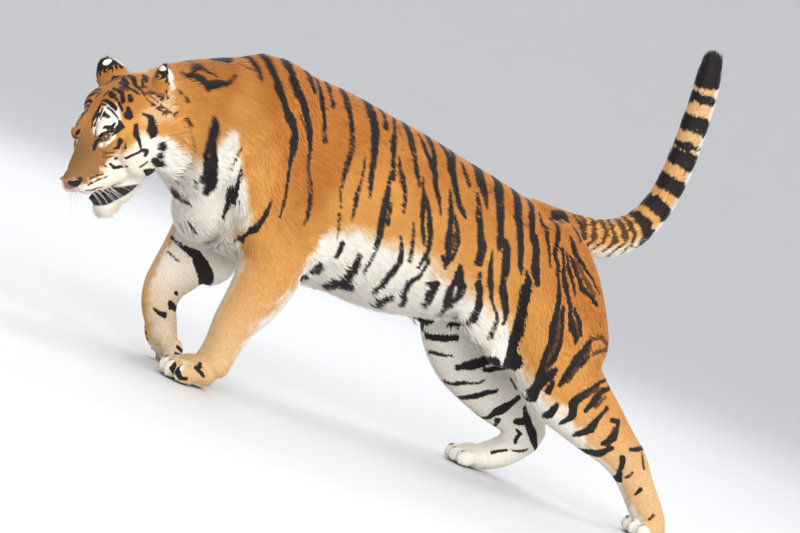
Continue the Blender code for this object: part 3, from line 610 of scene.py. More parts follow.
FLANK = [
    # shoulder and withers
    [(-66, 92.5, 8), (-63, 88, 10), (-60.5, 84, 9), (-58.5, 80.5, 8), (-56, 77.5, 8), (-54, 74, 8),
     (-53, 70, 7), (-52.5, 66, 5), (-51, 62, 4), (-50, 57, 4), (-50, 52, 2)],
    [(-58.5, 92, 13), (-57, 88, 11), (-54, 84, 9), (-52, 80, 8), (-49.5, 76.5, 7), (-48, 73, 4),
     (-46, 66.5, 3), (-44, 62, 5), (-42, 58, 4), (-41, 53, 2)],
    [(-51.5, 91, 7), (-50, 87, 7)],
    [(-48, 89.5, 6), (-47, 84.5, 7), (-45.5, 80, 5), (-44.5, 75, 3)],
    [(-44.5, 91, 8), (-43.5, 85, 4)],
    [(-39, 91, 10), (-38.5, 86, 8), (-36.5, 81.5, 7), (-36, 77, 7), (-36, 71, 6), (-35.5, 66, 4),
     (-35, 62.5, 3), (-33.5, 60, 2)],
    [(-31.5, 75.5, 3), (-31, 69, 4), (-30.5, 64, 6), (-29, 58, 3)],
    [(-31, 90.5, 13), (-30, 84.5, 12), (-29, 78.5, 10), (-28.5, 73.5, 8), (-27.5, 69, 5),
     (-27, 65.5, 2)],
    [(-26, 90, 7), (-26, 84.5, 4)],
    [(-21, 89, 3), (-22.5, 87, 6), (-23.5, 82, 8), (-22.5, 77, 7), (-21, 72.5, 3)],
    [(-20.5, 79, 3), (-19, 74, 6), (-17, 69, 6), (-16, 65.5, 3)],
    [(-22.5, 74, 5), (-22, 68, 7), (-21, 62.5, 7), (-20, 58, 7), (-18.5, 52.5, 6),
     (-17.5, 45.5, 3)],
    [(-20, 66, 4), (-19, 60.5, 5)],
    [(-17.5, 88, 9), (-16.5, 83, 9), (-15.5, 78.5, 8), (-13.5, 74.5, 5)],
    [(-12.5, 76, 3), (-11, 71, 7), (-10, 66.5, 6), (-8, 62.5, 4), (-6.5, 59, 3)],
    [(-10.5, 72, 4), (-8.5, 68.5, 6), (-6.5, 64.5, 7), (-4.5, 60, 8), (-3.5, 56, 6)],
    [(-13.5, 86.5, 5), (-12, 83.5, 6), (-9.5, 79.5, 9), (-8, 76, 8), (-6, 72, 6), (-4, 68, 2)],
    [(-10, 88.5, 10), (-9, 84.5, 7), (-9, 80.5, 6)],
    [(-14, 59, 3), (-12, 55.5, 5), (-10.5, 52, 7), (-11, 47, 9), (-11, 42.5, 11)],
    [(-11.5, 64, 2), (-10, 60, 6), (-8.5, 55.5, 5), (-8, 53, 3)],
    # belly bars
    [(-28.5, 52, 5), (-28, 47.5, 8)],
    [(-22, 50, 7), (-21, 45, 11), (-20.5, 41, 14), (-23, 38, 13), (-20, 36.5, 9)],
    [(-20, 40, 12), (-17.5, 40, 9)], [(-33.5, 58.5, 4), (-32, 55, 3), (-30.5, 52, 2)],
    [(-32, 42.5, 11), (-30, 41, 9)], [(-34.5, 38.5, 10), (-31, 38, 7)],
    [(-6, 41.5, 9), (-6.5, 38, 12), (-4, 35.5, 10)],
    # loop on the flank
    [(-4, 58, 6), (-4.7, 52.5, 5)],
    [(-2, 55.5, 6), (-2.7, 50, 6), (-4, 47, 7), (-3, 43.5, 8), (-0.5, 41, 7)],
    [(-4.5, 86, 8), (-3, 82, 11), (-1, 77, 9), (2, 72.5, 8), (4.5, 70, 3)],
    [(0, 87, 8), (-1.5, 85, 9), (-2.5, 82, 8)], [(2.3, 84.5, 3), (2.5, 81.8, 8), (4.5, 79.5, 3)],
    [(-3.3, 76.5, 3), (-1.5, 72, 6), (0, 67.5, 8), (1.3, 63, 8), (2.7, 59, 6), (4, 55, 4)],
    [(1, 69.5, 4), (3, 66, 6), (4.3, 63, 6), (4.3, 58.5, 6), (3.7, 55.5, 5)],
    [(1.5, 57.8, 5), (3, 57, 5)], [(9, 85.5, 17), (9, 81.5, 15), (10.3, 77.5, 8), (11.5, 74.5, 3)],
    [(7.3, 78, 4), (8.3, 72.5, 8), (10.7, 67.5, 10), (13, 64, 12), (13.3, 60, 10)],
    [(15.3, 57.5, 4), (16.7, 54, 8), (19.3, 52, 7), (21, 48.5, 8), (21, 45, 8), (19.7, 42, 5)],
    [(16.3, 85, 15), (15.7, 79.5, 14), (16.7, 74, 12), (18, 69.5, 10), (19, 65.5, 5)],
    [(20, 68.5, 8), (21.7, 65.5, 12), (23.3, 61.5, 13), (25, 56.5, 10), (28, 53, 9), (30, 50, 7),
     (31, 46, 4)],
    [(16.7, 64, 4), (18, 60, 9), (20.7, 55.5, 8), (24.7, 50.5, 4), (28.3, 46.5, 5), (28, 41.5, 8)],
    [(23, 82.5, 12), (22.7, 76.5, 12), (24.7, 71.5, 10), (26.7, 66.5, 9), (28.3, 62.5, 5),
     (29.2, 60.5, 2)],
    # dark patches over the belly
    [(8, 57, 8), (9.5, 54, 12), (9.5, 50, 10), (11.5, 46, 9), (13.5, 42, 6)],
    [(9.5, 54, 9), (12.5, 51.5, 9), (13.5, 48, 9), (13, 44, 5)],
    [(1, 49, 5), (4, 49.5, 10), (4.5, 46.5, 12), (6, 43.5, 8)],
    # rump and thigh
    [(29.3, 82, 9), (28.5, 77.5, 10), (29, 72.5, 9), (30.7, 68, 7), (32, 63.5, 7),
     (33.3, 59.5, 4)],
    [(30.3, 62.5, 4), (31.7, 57.5, 9), (32.7, 52.5, 8), (34.3, 48, 9), (35.3, 44, 10),
     (36, 39.5, 11), (38.5, 35.5, 16), (40, 33, 10)],
    [(33, 34.5, 12), (36, 33, 10)], [(32.3, 79, 4), (33, 74, 5), (34.3, 69.5, 4), (35.3, 66.5, 2)],
    [(36.5, 79, 4), (36, 75, 5), (36, 70.5, 5), (38, 65.5, 5), (40, 61, 6), (41, 56, 7),
     (41.7, 50.5, 9), (43.3, 46, 8), (43.3, 41.5, 7), (45, 36, 8)],
    [(42.7, 56.5, 4), (44.7, 52, 6), (46.3, 47, 8), (46.3, 43, 8), (45.5, 39.5, 6)],
    [(37.7, 72.5, 4), (39.7, 66.5, 5), (42, 62, 5), (45.3, 56.5, 6), (48.5, 52, 8), (51, 49.5, 6)],
    [(46.5, 57.5, 4), (50, 54.5, 7), (52, 51, 5)],
    [(39.3, 72, 3), (41.3, 67.5, 6), (44, 63.5, 5), (45.5, 61.5, 2)],
    [(40.7, 72, 4), (44, 67.5, 6), (47.3, 64, 7), (51.3, 62.3, 6), (55, 60.7, 4)],
    [(40.7, 76, 5), (43.3, 72.5, 7), (47.3, 69.5, 5), (50.7, 67.5, 4), (55, 64, 3)],
    [(38, 80, 9), (41.5, 81.5, 7), (44.5, 76, 4)],
    [(55.7, 50, 7), (54, 45.5, 10), (52.7, 40, 9), (52, 35.5, 6)],
    [(57.3, 46, 5), (55.7, 42.5, 6)], [(44.5, 83, 7), (48.5, 80, 7), (51.5, 76.5, 6), (54, 74, 3)],
    [(49.5, 83.5, 6), (53.5, 81, 6), (57, 79, 3)],
    [(48, 39, 9), (46.5, 35, 12), (46.5, 31, 12), (48, 28.5, 6)], [(49.5, 36, 7), (49.5, 33, 8)],
    [(54.5, 29.5, 8), (54.3, 26, 10)],
    # shank and hock
    [(69.5, 42, 4), (64.5, 39, 5), (61, 36, 8), (59, 32, 13), (60.7, 28.5, 11), (59, 25, 6)],
    [(73, 40.5, 4), (67.5, 38, 7), (65.5, 35, 9), (64, 31, 6)],
    [(71.3, 34, 6), (69, 29.5, 10), (68.5, 26.5, 12), (66, 23.5, 8)],
    [(74, 31, 6), (77.3, 32, 6), (77.7, 26.5, 11), (75.5, 24, 7)],
    [(79, 23.5, 6), (76.5, 20.5, 12), (71, 19, 7)],
    [(92, 26.5, 5), (87.5, 25.5, 6), (85.3, 24.7, 5)],
    [(84, 21.5, 7), (85.7, 17.5, 6), (88, 14.3, 8)], [(95, 14, 7), (94.5, 12, 4)],
    [(95.8, 25.8, 5), (94.5, 25, 4)],
    # neck
    [(-86.8, 77.7, 5), (-84.5, 78.2, 6), (-82, 78.4, 7), (-80.5, 77.5, 9), (-78, 78.5, 8),
     (-75, 80, 6), (-74.5, 81, 4), (-72.7, 82.5, 3)],
    [(-85, 78.6, 5), (-84, 80.2, 6), (-82, 81.1, 5), (-79.5, 80.7, 3), (-77.7, 80, 2)],
    [(-80, 84, 2), (-76.5, 85, 4), (-74, 85.3, 6), (-72.7, 86, 3)],
    [(-72, 87.5, 4), (-68.6, 88.6, 7), (-66.8, 86.8, 6), (-65.5, 84.3, 3)],
    [(-88, 73.2, 3), (-87.8, 73, 3)], [(-86.5, 72.3, 5), (-85.5, 71.5, 5)],
    [(-84.3, 67.5, 5), (-82.5, 66.4, 3)],
    [(-76, 70, 6), (-75.2, 67, 12), (-74.5, 63.5, 12), (-74.5, 60.5, 7), (-73, 57, 5)],
    [(-73, 63, 5), (-71.6, 59, 10), (-70.2, 56, 11), (-68.6, 52.7, 12), (-68.8, 50.5, 7)],
    [(-74, 60, 6), (-72.5, 56.5, 6), (-71, 53, 4)],
    [(-64.3, 60.5, 2), (-63.6, 54, 4), (-62, 49.5, 5), (-61, 45.5, 3)],
    [(-54.3, 56, 2), (-54.7, 51.5, 6), (-55.3, 46, 5), (-56, 43, 4), (-55, 40, 2)],
    # left fore foot
    [(-53, 7, 3), (-54.3, 5.5, 5), (-52, 4.3, 4)],
    [(-59.5, 5, 3), (-59.7, 3, 5), (-58, 1.5, 5), (-56, 2, 3)],
]
FAINT_FLANK = [
    [(-53.5, 79, 3), (-50, 75.5, 2.5)], [(-66, 66, 2.5), (-66.4, 58.5, 2.5)],
    [(-71, 85.5, 2), (-67, 85.5, 2)], [(-84, 67, 2), (-78, 60, 2)],
    [(-74.5, 47.3, 3), (-71.8, 46, 6), (-70.5, 46, 4)], [(-69, 40.5, 3), (-65, 38.4, 3)],
    [(-72.7, 53.2, 3), (-71, 50, 3)], [(64.5, 51.5, 6), (59.3, 52.7, 6), (55.7, 51, 5)],
    [(65, 50, 6), (62.7, 49.3, 6), (58.7, 47.3, 6)], [(90.8, 25, 3), (93.5, 20.4, 4)],
    [(89.5, 18, 5), (89, 16.5, 5)], [(103, 8.5, 4), (102.5, 7, 4)],
    [(-20.5, 87, 3), (-20.5, 84.5, 2)], [(-41, 55, 5), (-41.5, 52, 4)],
    [(42.3, 55, 6), (43.8, 48, 13), (44.8, 42, 12), (45.5, 37, 9)],
    [(56.2, 48.5, 10), (54.8, 43.5, 12), (53.5, 38, 8)], [(48, 54, 9), (50.5, 51.3, 8)],
    [(42.5, 71, 5), (48, 66.5, 7), (53, 63, 5)], [(76.5, 29, 8), (77, 24, 9)],
    [(61.5, 35, 7), (66, 38.5, 5)], [(66.5, 33.5, 6), (69.5, 37, 5)],
    [(2.6, 66.5, 5), (2.8, 61.5, 6)], [(-30, 64, 5), (-29.5, 60, 5)],
]
# Inner sides of the right legs, on the same two ways.
INNER = [
    [(-64.7, 34.7, 3), (-60.7, 33.3, 6), (-56.7, 32.2, 11), (-54, 29.9, 16), (-51.3, 27, 18),
     (-49, 24.5, 15), (-48.5, 22.5, 9)],
    [(-64, 30, 2.5), (-60, 28.8, 3)], [(-57.5, 20.6, 5), (-57, 20.3, 5)],
    [(-58, 17.2, 6), (-56.8, 16.6, 8), (-55, 16, 5)], [(-61.7, 14, 3), (-58.3, 13.7, 7)],
    [(-52, 6, 3), (-48.5, 5.6, 4)], [(-52, 4.3, 3), (-48.5, 4.6, 3)],
    [(20.5, 31.5, 8), (25.3, 34, 9), (30, 35.7, 7)],
    [(35, 27.7, 6), (39, 30.5, 14), (43.3, 33.3, 11), (46, 35, 6)],
    [(44, 30.3, 7), (49.3, 32.3, 8), (53, 33.7, 10)],
    [(33, 21, 5), (36.7, 22.3, 6), (39.3, 23.7, 5), (43, 25.4, 4), (45, 27, 2)],
    [(24, 27.5, 4), (28, 29, 5), (32, 30.5, 3)],
    [(42.3, 18.7, 6), (44.7, 21.3, 7), (48, 24, 6), (50.7, 25.7, 4)],
    [(52.7, 16, 6), (54, 19, 12), (56.7, 22.7, 9), (59.3, 25.3, 7)],
    [(56, 17, 5), (57.7, 13.7, 4)], [(61.5, 27.5, 11), (65.3, 26.5, 12)],
    [(61.5, 18.5, 8), (64.5, 19.7, 9)],
    [(62.7, 23, 5), (65, 20, 10), (68, 17, 11), (71, 13.7, 8), (73.3, 11.7, 6)],
    [(63.3, 16, 4), (65, 15, 4), (64.3, 12.3, 4)], [(58, 6.7, 4), (62, 8.7, 4)],
]
FAINT_INNER = [
    [(-65.7, 40.3, 3), (-60, 38, 3)], [(63.3, 9.3, 4), (66.7, 10, 5), (69.3, 11.3, 4)],
    [(57, 27.5, 5), (54, 29.5, 5)],
]
# The face seen from the side: centimetres behind and above the nose tip, in head sizes.
CHEEK = [
    [(18.3, 6.2, 6), (17.3, 4.2, 8), (16.8, 2.2, 5), (16.2, 0.8, 3)],
    [(11.7, 0, 3.5), (13.7, 0.3, 3), (16, 0.5, 3.5), (17, 0, 5), (17.5, -0.5, 7), (16.8, -0.9, 6)],
    [(21.5, 7.8, 2.5), (22.8, 6, 8), (22, 4.7, 9), (21.2, 3.3, 10), (20.8, 2, 6)],
    [(21.7, -0.4, 6), (21.6, -1.4, 9)], [(18.5, -3.4, 6), (19.5, -4.4, 10), (20.3, -5.8, 8)],
    [(20.8, -2.8, 4), (20.5, -3.8, 5)],
    [(15.6, -4.8, 4), (17, -6, 10), (18.5, -7.2, 11), (19.8, -8.6, 7)],
    [(14.5, -3.3, 3), (16.7, -2.9, 3)], [(10.3, -0.6, 3), (10.5, -1.7, 4.5), (11.8, -2.2, 4)],
    [(12.3, 2.6, 2.5), (13.2, 2.6, 5), (13.8, 3.8, 4.5), (14.2, 4.6, 3)],
    [(13.6, 6, 3.5), (14.6, 6.6, 5.5), (15.7, 7.2, 7), (16.3, 8.2, 4)],
    [(12.8, 8.3, 2.5), (14, 7.8, 4.5), (15, 8.3, 3)],
    [(19.6, 10.4, 4), (19.3, 9.5, 6), (18.7, 8.8, 7), (18.1, 8.4, 5)],
    [(30.7, 3, 6), (32.3, 0.5, 4)], [(33.5, 6, 5), (34.3, 5.4, 5)], [(25, 10.4, 2), (25.7, 8, 3)],
    [(26.3, 10.8, 2), (26.9, 8.2, 3)], [(27.6, 10.8, 2), (28.2, 8.3, 3)],
    [(28.8, 10.3, 2.5), (29.2, 8.2, 3)], [(25.6, 7.3, 2.5), (26.5, 6, 3)],
    [(27.2, 7.4, 2.5), (28, 6, 3)], [(2.6, -2.1, 1.6), (4, -2.2, 2.2)],
    [(4.6, -2.3, 2), (6.2, -2.4, 2.2)], [(6.8, -2.4, 2), (8, -2.5, 1.4)],
    [(2, -3.3, 1.6), (3, -3.6, 2.2)], [(3.5, -3.8, 2.4), (4.6, -4.2, 2.4)],
    [(5, -4.4, 2), (5.9, -4.7, 1.6)], [(3.8, -1.2, 1.6), (5.2, -1.3, 2)],
    [(5.8, -1.3, 2), (7.2, -1.5, 1.8)], [(2.6, -4.8, 1.4), (3.8, -5.2, 1.6)],
    [(4.4, -5.5, 1.6), (5.6, -5.9, 1.4)], [(8.7, 3.8, 2.2), (9.8, 4.9, 4.2), (10.6, 5.7, 5)],
    [(10.2, 6.2, 4), (11.2, 7.4, 4.5), (12.6, 7.6, 4), (13.8, 7, 4)],
]
FAINT_CHEEK = [
    [(9.8, 2.4, 2), (10.6, 2.1, 2)], [(10.2, 1.2, 2), (11.4, 0.9, 2.2)],
    [(8.7, 0.2, 2), (9.3, -0.7, 2)], [(9.3, 1.8, 2), (11, 1, 2)], [(10, 3, 2), (11.8, 1.8, 2)],
    [(25, 11.3, 3), (27.5, 10.4, 3)], [(26, 12.6, 3), (28, 11.6, 3)],
    [(25, 8.4, 3), (25.5, 8.3, 3)], [(26.5, 5.5, 5), (29.5, 4, 4)], [(27, 4.6, 4), (28.2, 5.2, 4)],
    [(26.2, 7.2, 4), (27.4, 6.6, 4)],
]
# The crown seen from above: centimetres behind and beside.
CROWN = [
    [(18.2, 5.2, 5), (18.6, 3.3, 7), (19.2, 1.6, 5), (19, 0, 3)],
    [(20.1, 6.4, 6), (21.8, 4.8, 6), (22.8, 2.9, 6), (23, 0.6, 5)],
    [(21.3, 7.8, 7), (22.2, 6.8, 5)], [(20.7, 2.6, 8), (21.5, 0.8, 6)],
    [(24, 7.9, 5), (24.5, 6, 5), (24.9, 3.7, 5), (25.7, 0.6, 5)],
    [(25.7, 7.2, 4), (26.8, 4.5, 5), (28.8, 1.8, 7), (29.9, -1, 6)],
    [(26, 3, 5), (27.6, -0.5, 9), (29.5, -3.5, 8)],
    [(29.5, 5.5, 5), (31.5, 3.5, 9), (34.2, 1.4, 12), (36.5, -1, 10)],
    [(15.3, 4.9, 5), (15.5, 3.4, 7)], [(15.8, 1.6, 4), (15.3, 1.1, 4)],
    [(12.8, 5.2, 4), (13.8, 6.7, 4), (14.9, 7.2, 3)],
    [(14.2, 0.5, 3), (16, 0.9, 4), (17.6, 0.3, 4)], [(15, 2.1, 3), (17, 1.7, 3)],
    [(16.6, 6.6, 2.5), (17.2, 4.6, 3.5), (17.4, 3, 2.5)], [(17.8, 2.2, 2.5), (18.2, 0.6, 3)],
    [(19.8, 4.8, 3), (20.4, 3.4, 3.5)], [(23.5, 5.2, 3), (24.1, 2.2, 3.5)],
    [(14.1, 3.1, 2), (16.2, 2.7, 3)], [(13, 1.2, 2), (14.6, 1.5, 2.5)],
    [(18.6, 6.8, 3.5), (19.4, 5.6, 4)], [(25, 8.6, 3), (26.2, 6.4, 3.5)],
    [(20.4, -0.8, 3), (22, -0.5, 3)], [(12, 2.2, 1.8), (13.4, 2.5, 2.2)],
    [(27.4, 6.4, 3), (29.4, 4.2, 4)],
]
FAINT_CROWN = [
    [(12.5, 0.6, 3), (14.5, 0.2, 4), (16.5, 0.1, 4)], [(13, 1.6, 2.5), (15, 1.4, 3)],
    [(31, 7.4, 5), (33, 5.5, 6)],
]
# Rings of the tail: how far along it, half-width in millimetres, and how dark below.
TAIL_RINGS = [(0.165, 11, 0.2), (0.205, 9, 0.2), (0.245, 9, 0.4), (0.283, 8, 0.4),
              (0.322, 8, 0.5), (0.358, 8, 0.5), (0.412, 19, 0.7), (0.492, 22, 0.7),
              (0.578, 23, 0.8), (0.668, 22, 0.8), (0.712, 9, 0.3), (0.786, 23, 0.8),
              (0.868, 14, 0.4), (0.975, 56, 1.0)]
# Where the white begins: heights over the body's length, the rear edge of the white behind a
# fore leg by height, and heights over the head's length.
FLANK_LINE = ([-0.86, -0.80, -0.74, -0.71, -0.685, -0.66, -0.63, -0.60, -0.56, -0.545, -0.40,
               -0.34, -0.30, -0.15, -0.05, 0.00, 0.10, 0.20, 0.25, 0.30, 0.35, 0.39, 0.45,
               0.50, 0.60, 0.70, 0.80, 0.90, 1.10],
              [0.64, 0.585, 0.57, 0.68, 0.69, 0.63, 0.58, 0.52, 0.47, 0.38, 0.36, 0.525,
               0.548, 0.552, 0.55, 0.53, 0.505, 0.49, 0.485, 0.47, 0.43, 0.375, 0.325, 0.305,
               0.272, 0.222, 0.172, 0.115, 0.0])
FORELEG_REAR = ([0.0, 0.10, 0.20, 0.30, 0.40, 0.50, 0.60],
                [-0.46, -0.455, -0.440, -0.408, -0.362, -0.325, -0.35])
MASK_LINE = ([0.0, 0.03, 0.06, 0.08, 0.10, 0.12, 0.14, 0.16, 0.19, 0.21, 0.24, 0.26, 0.28,
              0.30, 0.34],
             [-0.010, -0.017, -0.015, -0.006, 0.004, 0.012, 0.020, 0.036, 0.042, 0.028, 0.000,
              -0.03, -0.08, -0.12, -0.17])
# The edges of the mouth's opening: heights over the head's length.
UPPER_LIP = ([0.03, 0.06, 0.10, 0.14, 0.18, 0.20],
             [-0.066, -0.071, -0.074, -0.086, -0.104, -0.110])
LOWER_LIP = ([0.03, 0.055, 0.08, 0.11, 0.14, 0.165, 0.19],
             [-0.085, -0.104, -0.110, -0.111, -0.109, -0.104, -0.094])


def strokes_at(places, strokes, widen=1.0):
    """How deep each place lies inside the nearest stroke, in metres: the half-width there,
    less the distance to the line through the stations. Only strokes nearby are measured."""
    depth = np.full(len(places), OUTSIDE)
    for stroke in strokes:
        stations = np.reshape(stroke, (-1, 3)) * (0.01, 0.01, 0.001 * widen)
        low, high = stations[:, :2].min(0) + OUTSIDE, stations[:, :2].max(0) - OUTSIDE
        near = np.flatnonzero(((places > low) & (places < high)).all(axis=1))
        if not len(near):
            continue
        spots = places[near]
        best = np.full(len(near), OUTSIDE)
        for (ax, ay, aw), (bx, by, bw) in zip(stations, stations[1:]):
            span = np.array((bx - ax, by - ay))
            t = np.clip(((spots - (ax, ay)) @ span) / (span @ span), 0, 1)
            gap = np.hypot(spots[:, 0] - ax - t * span[0], spots[:, 1] - ay - t * span[1])
            best = np.maximum(best, aw + t * (bw - aw) - gap)
        depth[near] = np.maximum(depth[near], best)
    return depth


def carried(points, where, own, other):
    """Where a point of one leg would lie on another: the same way along, and as far off its
    line in front or behind, in that leg's own sizes."""
    here, there = STATIONS[own], STATIONS[other]
    at = np.clip(where, 0, 1) * (len(here[0]) - 1)
    k = np.clip(at.astype(int), 0, len(here[0]) - 2)

    def frame_at(chain):
        centres, radii, ways = chain
        way = unit(ways[k] * (1, 0, 1))
        across = np.stack([-way[:, 2], np.zeros(len(k)), way[:, 0]], -1)
        return centres[k], radii[k], way, across

    centre, radius, way, across = frame_at(here)
    away = points - centre
    off, on = (away * across).sum(1) / radius, (away * way).sum(1) / radius
    centre, radius, way, across = frame_at(there)
    return centre + across * (off * radius)[:, None] + way * (on * radius)[:, None]


def within(a, b, reach, outer, full):
    """1 well inside an ellipse and 0 outside: a and b are distances from its middle, reach its
    half-sizes, and it is full within one multiple of them and fades out at the outer one."""
    return ease(outer, full, np.hypot(a / reach[0], b / reach[1]))


def blend(a, b, share):
    """a where share is 0, b where it is 1."""
    return a * (1 - share) + b * share


def side_spots(points, share, where):
    """Where to read the strokes of the outer and of the inner sides. The right side reads the
    left one's strokes a little shifted, and a leg reads its twin's, carried over to it."""
    x, y, z = points.T
    spots = np.stack([x, z], -1)
    shift = np.stack([0.020 * np.sin(z * 21 + 1.0) + 0.012, 0.018 * np.sin(x * 17)], -1)
    shifted = spots + shift * ease(0.02, 0.12, y)[:, None]
    outer = shifted.copy()
    moved, fade = {}, {}
    for name in LEGS:
        limb, side = name.split("_")
        twin = limb + ("_left" if side == "right" else "_right")
        fade[name] = ease(0.12, 0.30, where[name]) * ease(0.3, 0.7, share[name])
        moved[name] = carried(points, where[name], name, twin)[:, ::2]
        if side == "right":
            outer += (moved[name] - shifted) * fade[name][:, None]
    hind = (fade["hindleg_left"] > fade["foreleg_left"])[:, None]
    inner = np.where(hind, moved["hindleg_left"], moved["foreleg_left"])
    return outer, np.where((y > 0)[:, None], spots, inner)


def body_marks(points, normals, share, where, warp, tail):
    """Stripe, faint stripe, white and depth of orange on body and legs."""
    x, y, z = points.T
    outer, inner = side_spots(points, share, where)
    facing_in = np.where(y > 0, -normals[:, 1], normals[:, 1])
    leg_low = np.maximum.reduce([ease(0.25, 0.40, where[name]) * share[name] for name in LEGS])
    inside = ease(0.05, 0.25, facing_in) * ease(0.25, 0.6, leg_low)
    # Under the belly the strokes fade out before the middle.
    under = ease(-0.86, -0.99, normals[:, 2]) * (1 - sum(share[name] for name in LEGS))
    stripe = blend(strokes_at(outer + warp, FLANK, 1.32),
                   strokes_at(inner + warp, INNER, 1.35), inside) - 0.02 * under
    faint = blend(strokes_at(outer + warp, FAINT_FLANK, 1.2),
                  strokes_at(inner + warp, FAINT_INNER), inside) - 0.02 * under

    # White lies below a line along the flank, inside the legs and on the feet.
    line = np.interp(x, *FLANK_LINE)
    edge = 0.042 + 0.045 * ease(-0.32, -0.15, x) * ease(0.4, 0.2, x)
    white = ease(edge, -edge * 0.6, z - line + 0.012 * ripple(points, 0.05, 7))
    white *= 1 - ease(-0.2, 0.3, normals[:, 2]) * ease(0.0, 0.05, z - line)
    fore = share["foreleg_left"] + share["foreleg_right"]
    fore_low = ease(0.35, 0.5, np.where(y < 0, where["foreleg_left"],
                                        where["foreleg_right"])) * fore
    behind_leg = outer[:, 0] - np.interp(outer[:, 1], *FORELEG_REAR)
    leg_white = np.maximum.reduce([
        ease(-0.03, 0.04, behind_leg + 0.012 * ripple(points, 0.04, 8)),
        0.12 + 0.30 * ease(0.42, 0.12, z),
        0.55 * ease(-0.80, -1.0, normals[:, 0]) * ease(0.48, 0.36, z),
        ease(-0.05, 0.6, facing_in + 0.15 * ripple(points, 0.05, 14)),
        0.92 * ease(0.085, 0.045, z) * ease(0.1, -0.5, normals[:, 0])])
    # Less white on the right legs, the far side, most low down: their own tan and painted shade.
    leg_white *= 1 - (y > 0) * (0.12 + 0.24 * ease(0.32, 0.14, z))
    hind = share["hindleg_left"] + share["hindleg_right"]
    hind_in = ease(0.0, 0.4, facing_in) * ease(0.1, 0.3, hind)
    rear = ease(0.75, 0.95, normals[:, 0]) * ease(0.06, 0.03, abs(y))
    white = np.maximum.reduce([
        blend(white, leg_white, fore_low), hind_in * (0.95 - 0.25 * ease(0.16, 0.08, z)),
        hind * 0.42 * ease(0.42, 0.15, z), ease(-0.55, -0.85, normals[:, 2]) * (1 - tail),
        rear * hind * 0.9])
    # The orange is deepest along the back and palest low on the sides.
    deep = ease(line + 0.05, line + 0.32, z) * (1 - 0.35 * fore_low)
    return stripe, faint, white, deep


def tail_marks(points, at):
    """Depth inside the tail's rings, and the white below and towards the tip. The tail is
    about a metre long, so metres along it and shares of its length are added as they are."""
    centres, radii, ways = STATIONS["tail"]
    k = station_numbers(at, len(centres))
    off = points - centres[k]
    top = np.cross(ways[k], (0, 1.0, 0))
    below = ease(0.0, 0.8, -(off * top).sum(1) / radii[k])
    along = at + (off * ways[k]).sum(1) + 0.045 * ease(0.45, 0.30, at) * (below - 0.3)
    along += 0.006 * ripple(points, 0.05, 9)
    rings = np.full(len(points), OUTSIDE)
    for middle, half, under_dark in TAIL_RINGS:
        wide = 0.00125 * half * (1 - (1 - under_dark) * below)
        rings = np.maximum(rings, wide - abs(along - middle))
    white = 0.18 + 0.24 * ease(0.40, 0.85, at) + 0.75 * below
    return rings, np.clip(white, 0, 1)


def head_marks(points, normals, warp):
    """Stripe, faint stripe and white of the head and ears."""
    behind, beside, above = head_places(points).T
    facing = unit(normals @ HEAD_AXES.T)
    warp = warp * 0.5 + (beside <= 0)[:, None] * wander(points, 0.07, 10) * 0.0025
    lean = 0.020 * ease(0.03, 0.08, behind) * ease(0.32, 0.22, behind)
    aside = abs(beside + lean) - lean
    sideways = ease(0.22, 0.36, abs(facing[:, 1]) + 0.3 * ease(0.0, -0.04, above))
    upward = ease(0.22, 0.36, facing[:, 2]) * ease(0.02, 0.05, above)
    from_side = np.stack([behind, above], -1) + warp
    from_top = np.stack([behind, aside], -1) + warp
    stripe, faint = (
        np.maximum(strokes_at(from_side, cheek) + OUTSIDE * (1 - sideways),
                   strokes_at(from_top, crown) + OUTSIDE * (1 - upward))
        for cheek, crown in ((CHEEK, CROWN), (FAINT_CHEEK, FAINT_CROWN)))

    # Whitish are the muzzle's sides, chin and cheeks, and spots over and under the eyes, behind
    # the ears and at the temples; the bridge stays tan.
    over_line = above - np.interp(behind, *MASK_LINE)
    pale = ease(0.012, -0.012, over_line + 0.006 * ripple(points, 0.02, 12))
    pale *= 1 - 0.18 * ease(0.20, 0.17, behind)
    under_eye = abs(above - 0.048 - 0.45 * (behind - 0.12)) / 0.0045
    pale = np.maximum.reduce([
        pale,
        within(behind - 0.146, aside - 0.042, (0.044, 0.036), 1.15, 0.8)
        * ease(0.06, 0.075, above),
        0.9 * ease(1.3, 0.6, under_eye) * sideways * ease(0.100, 0.108, behind)
        * ease(0.142, 0.132, behind),
        0.45 * within(behind - 0.285, above - 0.065, (0.045, 0.05), 1.1, 0.5) * sideways,
        0.7 * ease(0.014, 0.006, abs(above - 0.098)) * sideways * ease(0.30, 0.32, behind),
        ease(-0.05, -0.08, above) * ease(0.33, 0.28, behind)])
    pale = pale - 0.25 * within(behind - 0.100, above + 0.130, (0.030, 0.016), 1.2, 0.5)
    pale = np.maximum(pale, 0.38 * sideways
                      * within(behind - 0.235, above - 0.062, (0.045, 0.030), 1.2, 0.5))

    # An ear is black behind with a white spot, orange at the foot and pale inside.
    ears, high, wide, opens = ear_places(points)
    back = ease(0.35, 0.0, (normals * opens).sum(1))
    spot = within(high - 0.52, wide + 0.22, (0.095, 0.30), 1.2, 0.8)
    streaks = np.sin(wide * 19 + 2 * ripple(points, 0.02, 15))
    black = back * ease(0.16, 0.34, high + 0.11 * streaks)
    return (blend(stripe, black * (1 - spot) * 0.02 - 0.008, ears), faint + OUTSIDE * ears,
            blend(pale, np.maximum(1 - back, spot * back), ears))


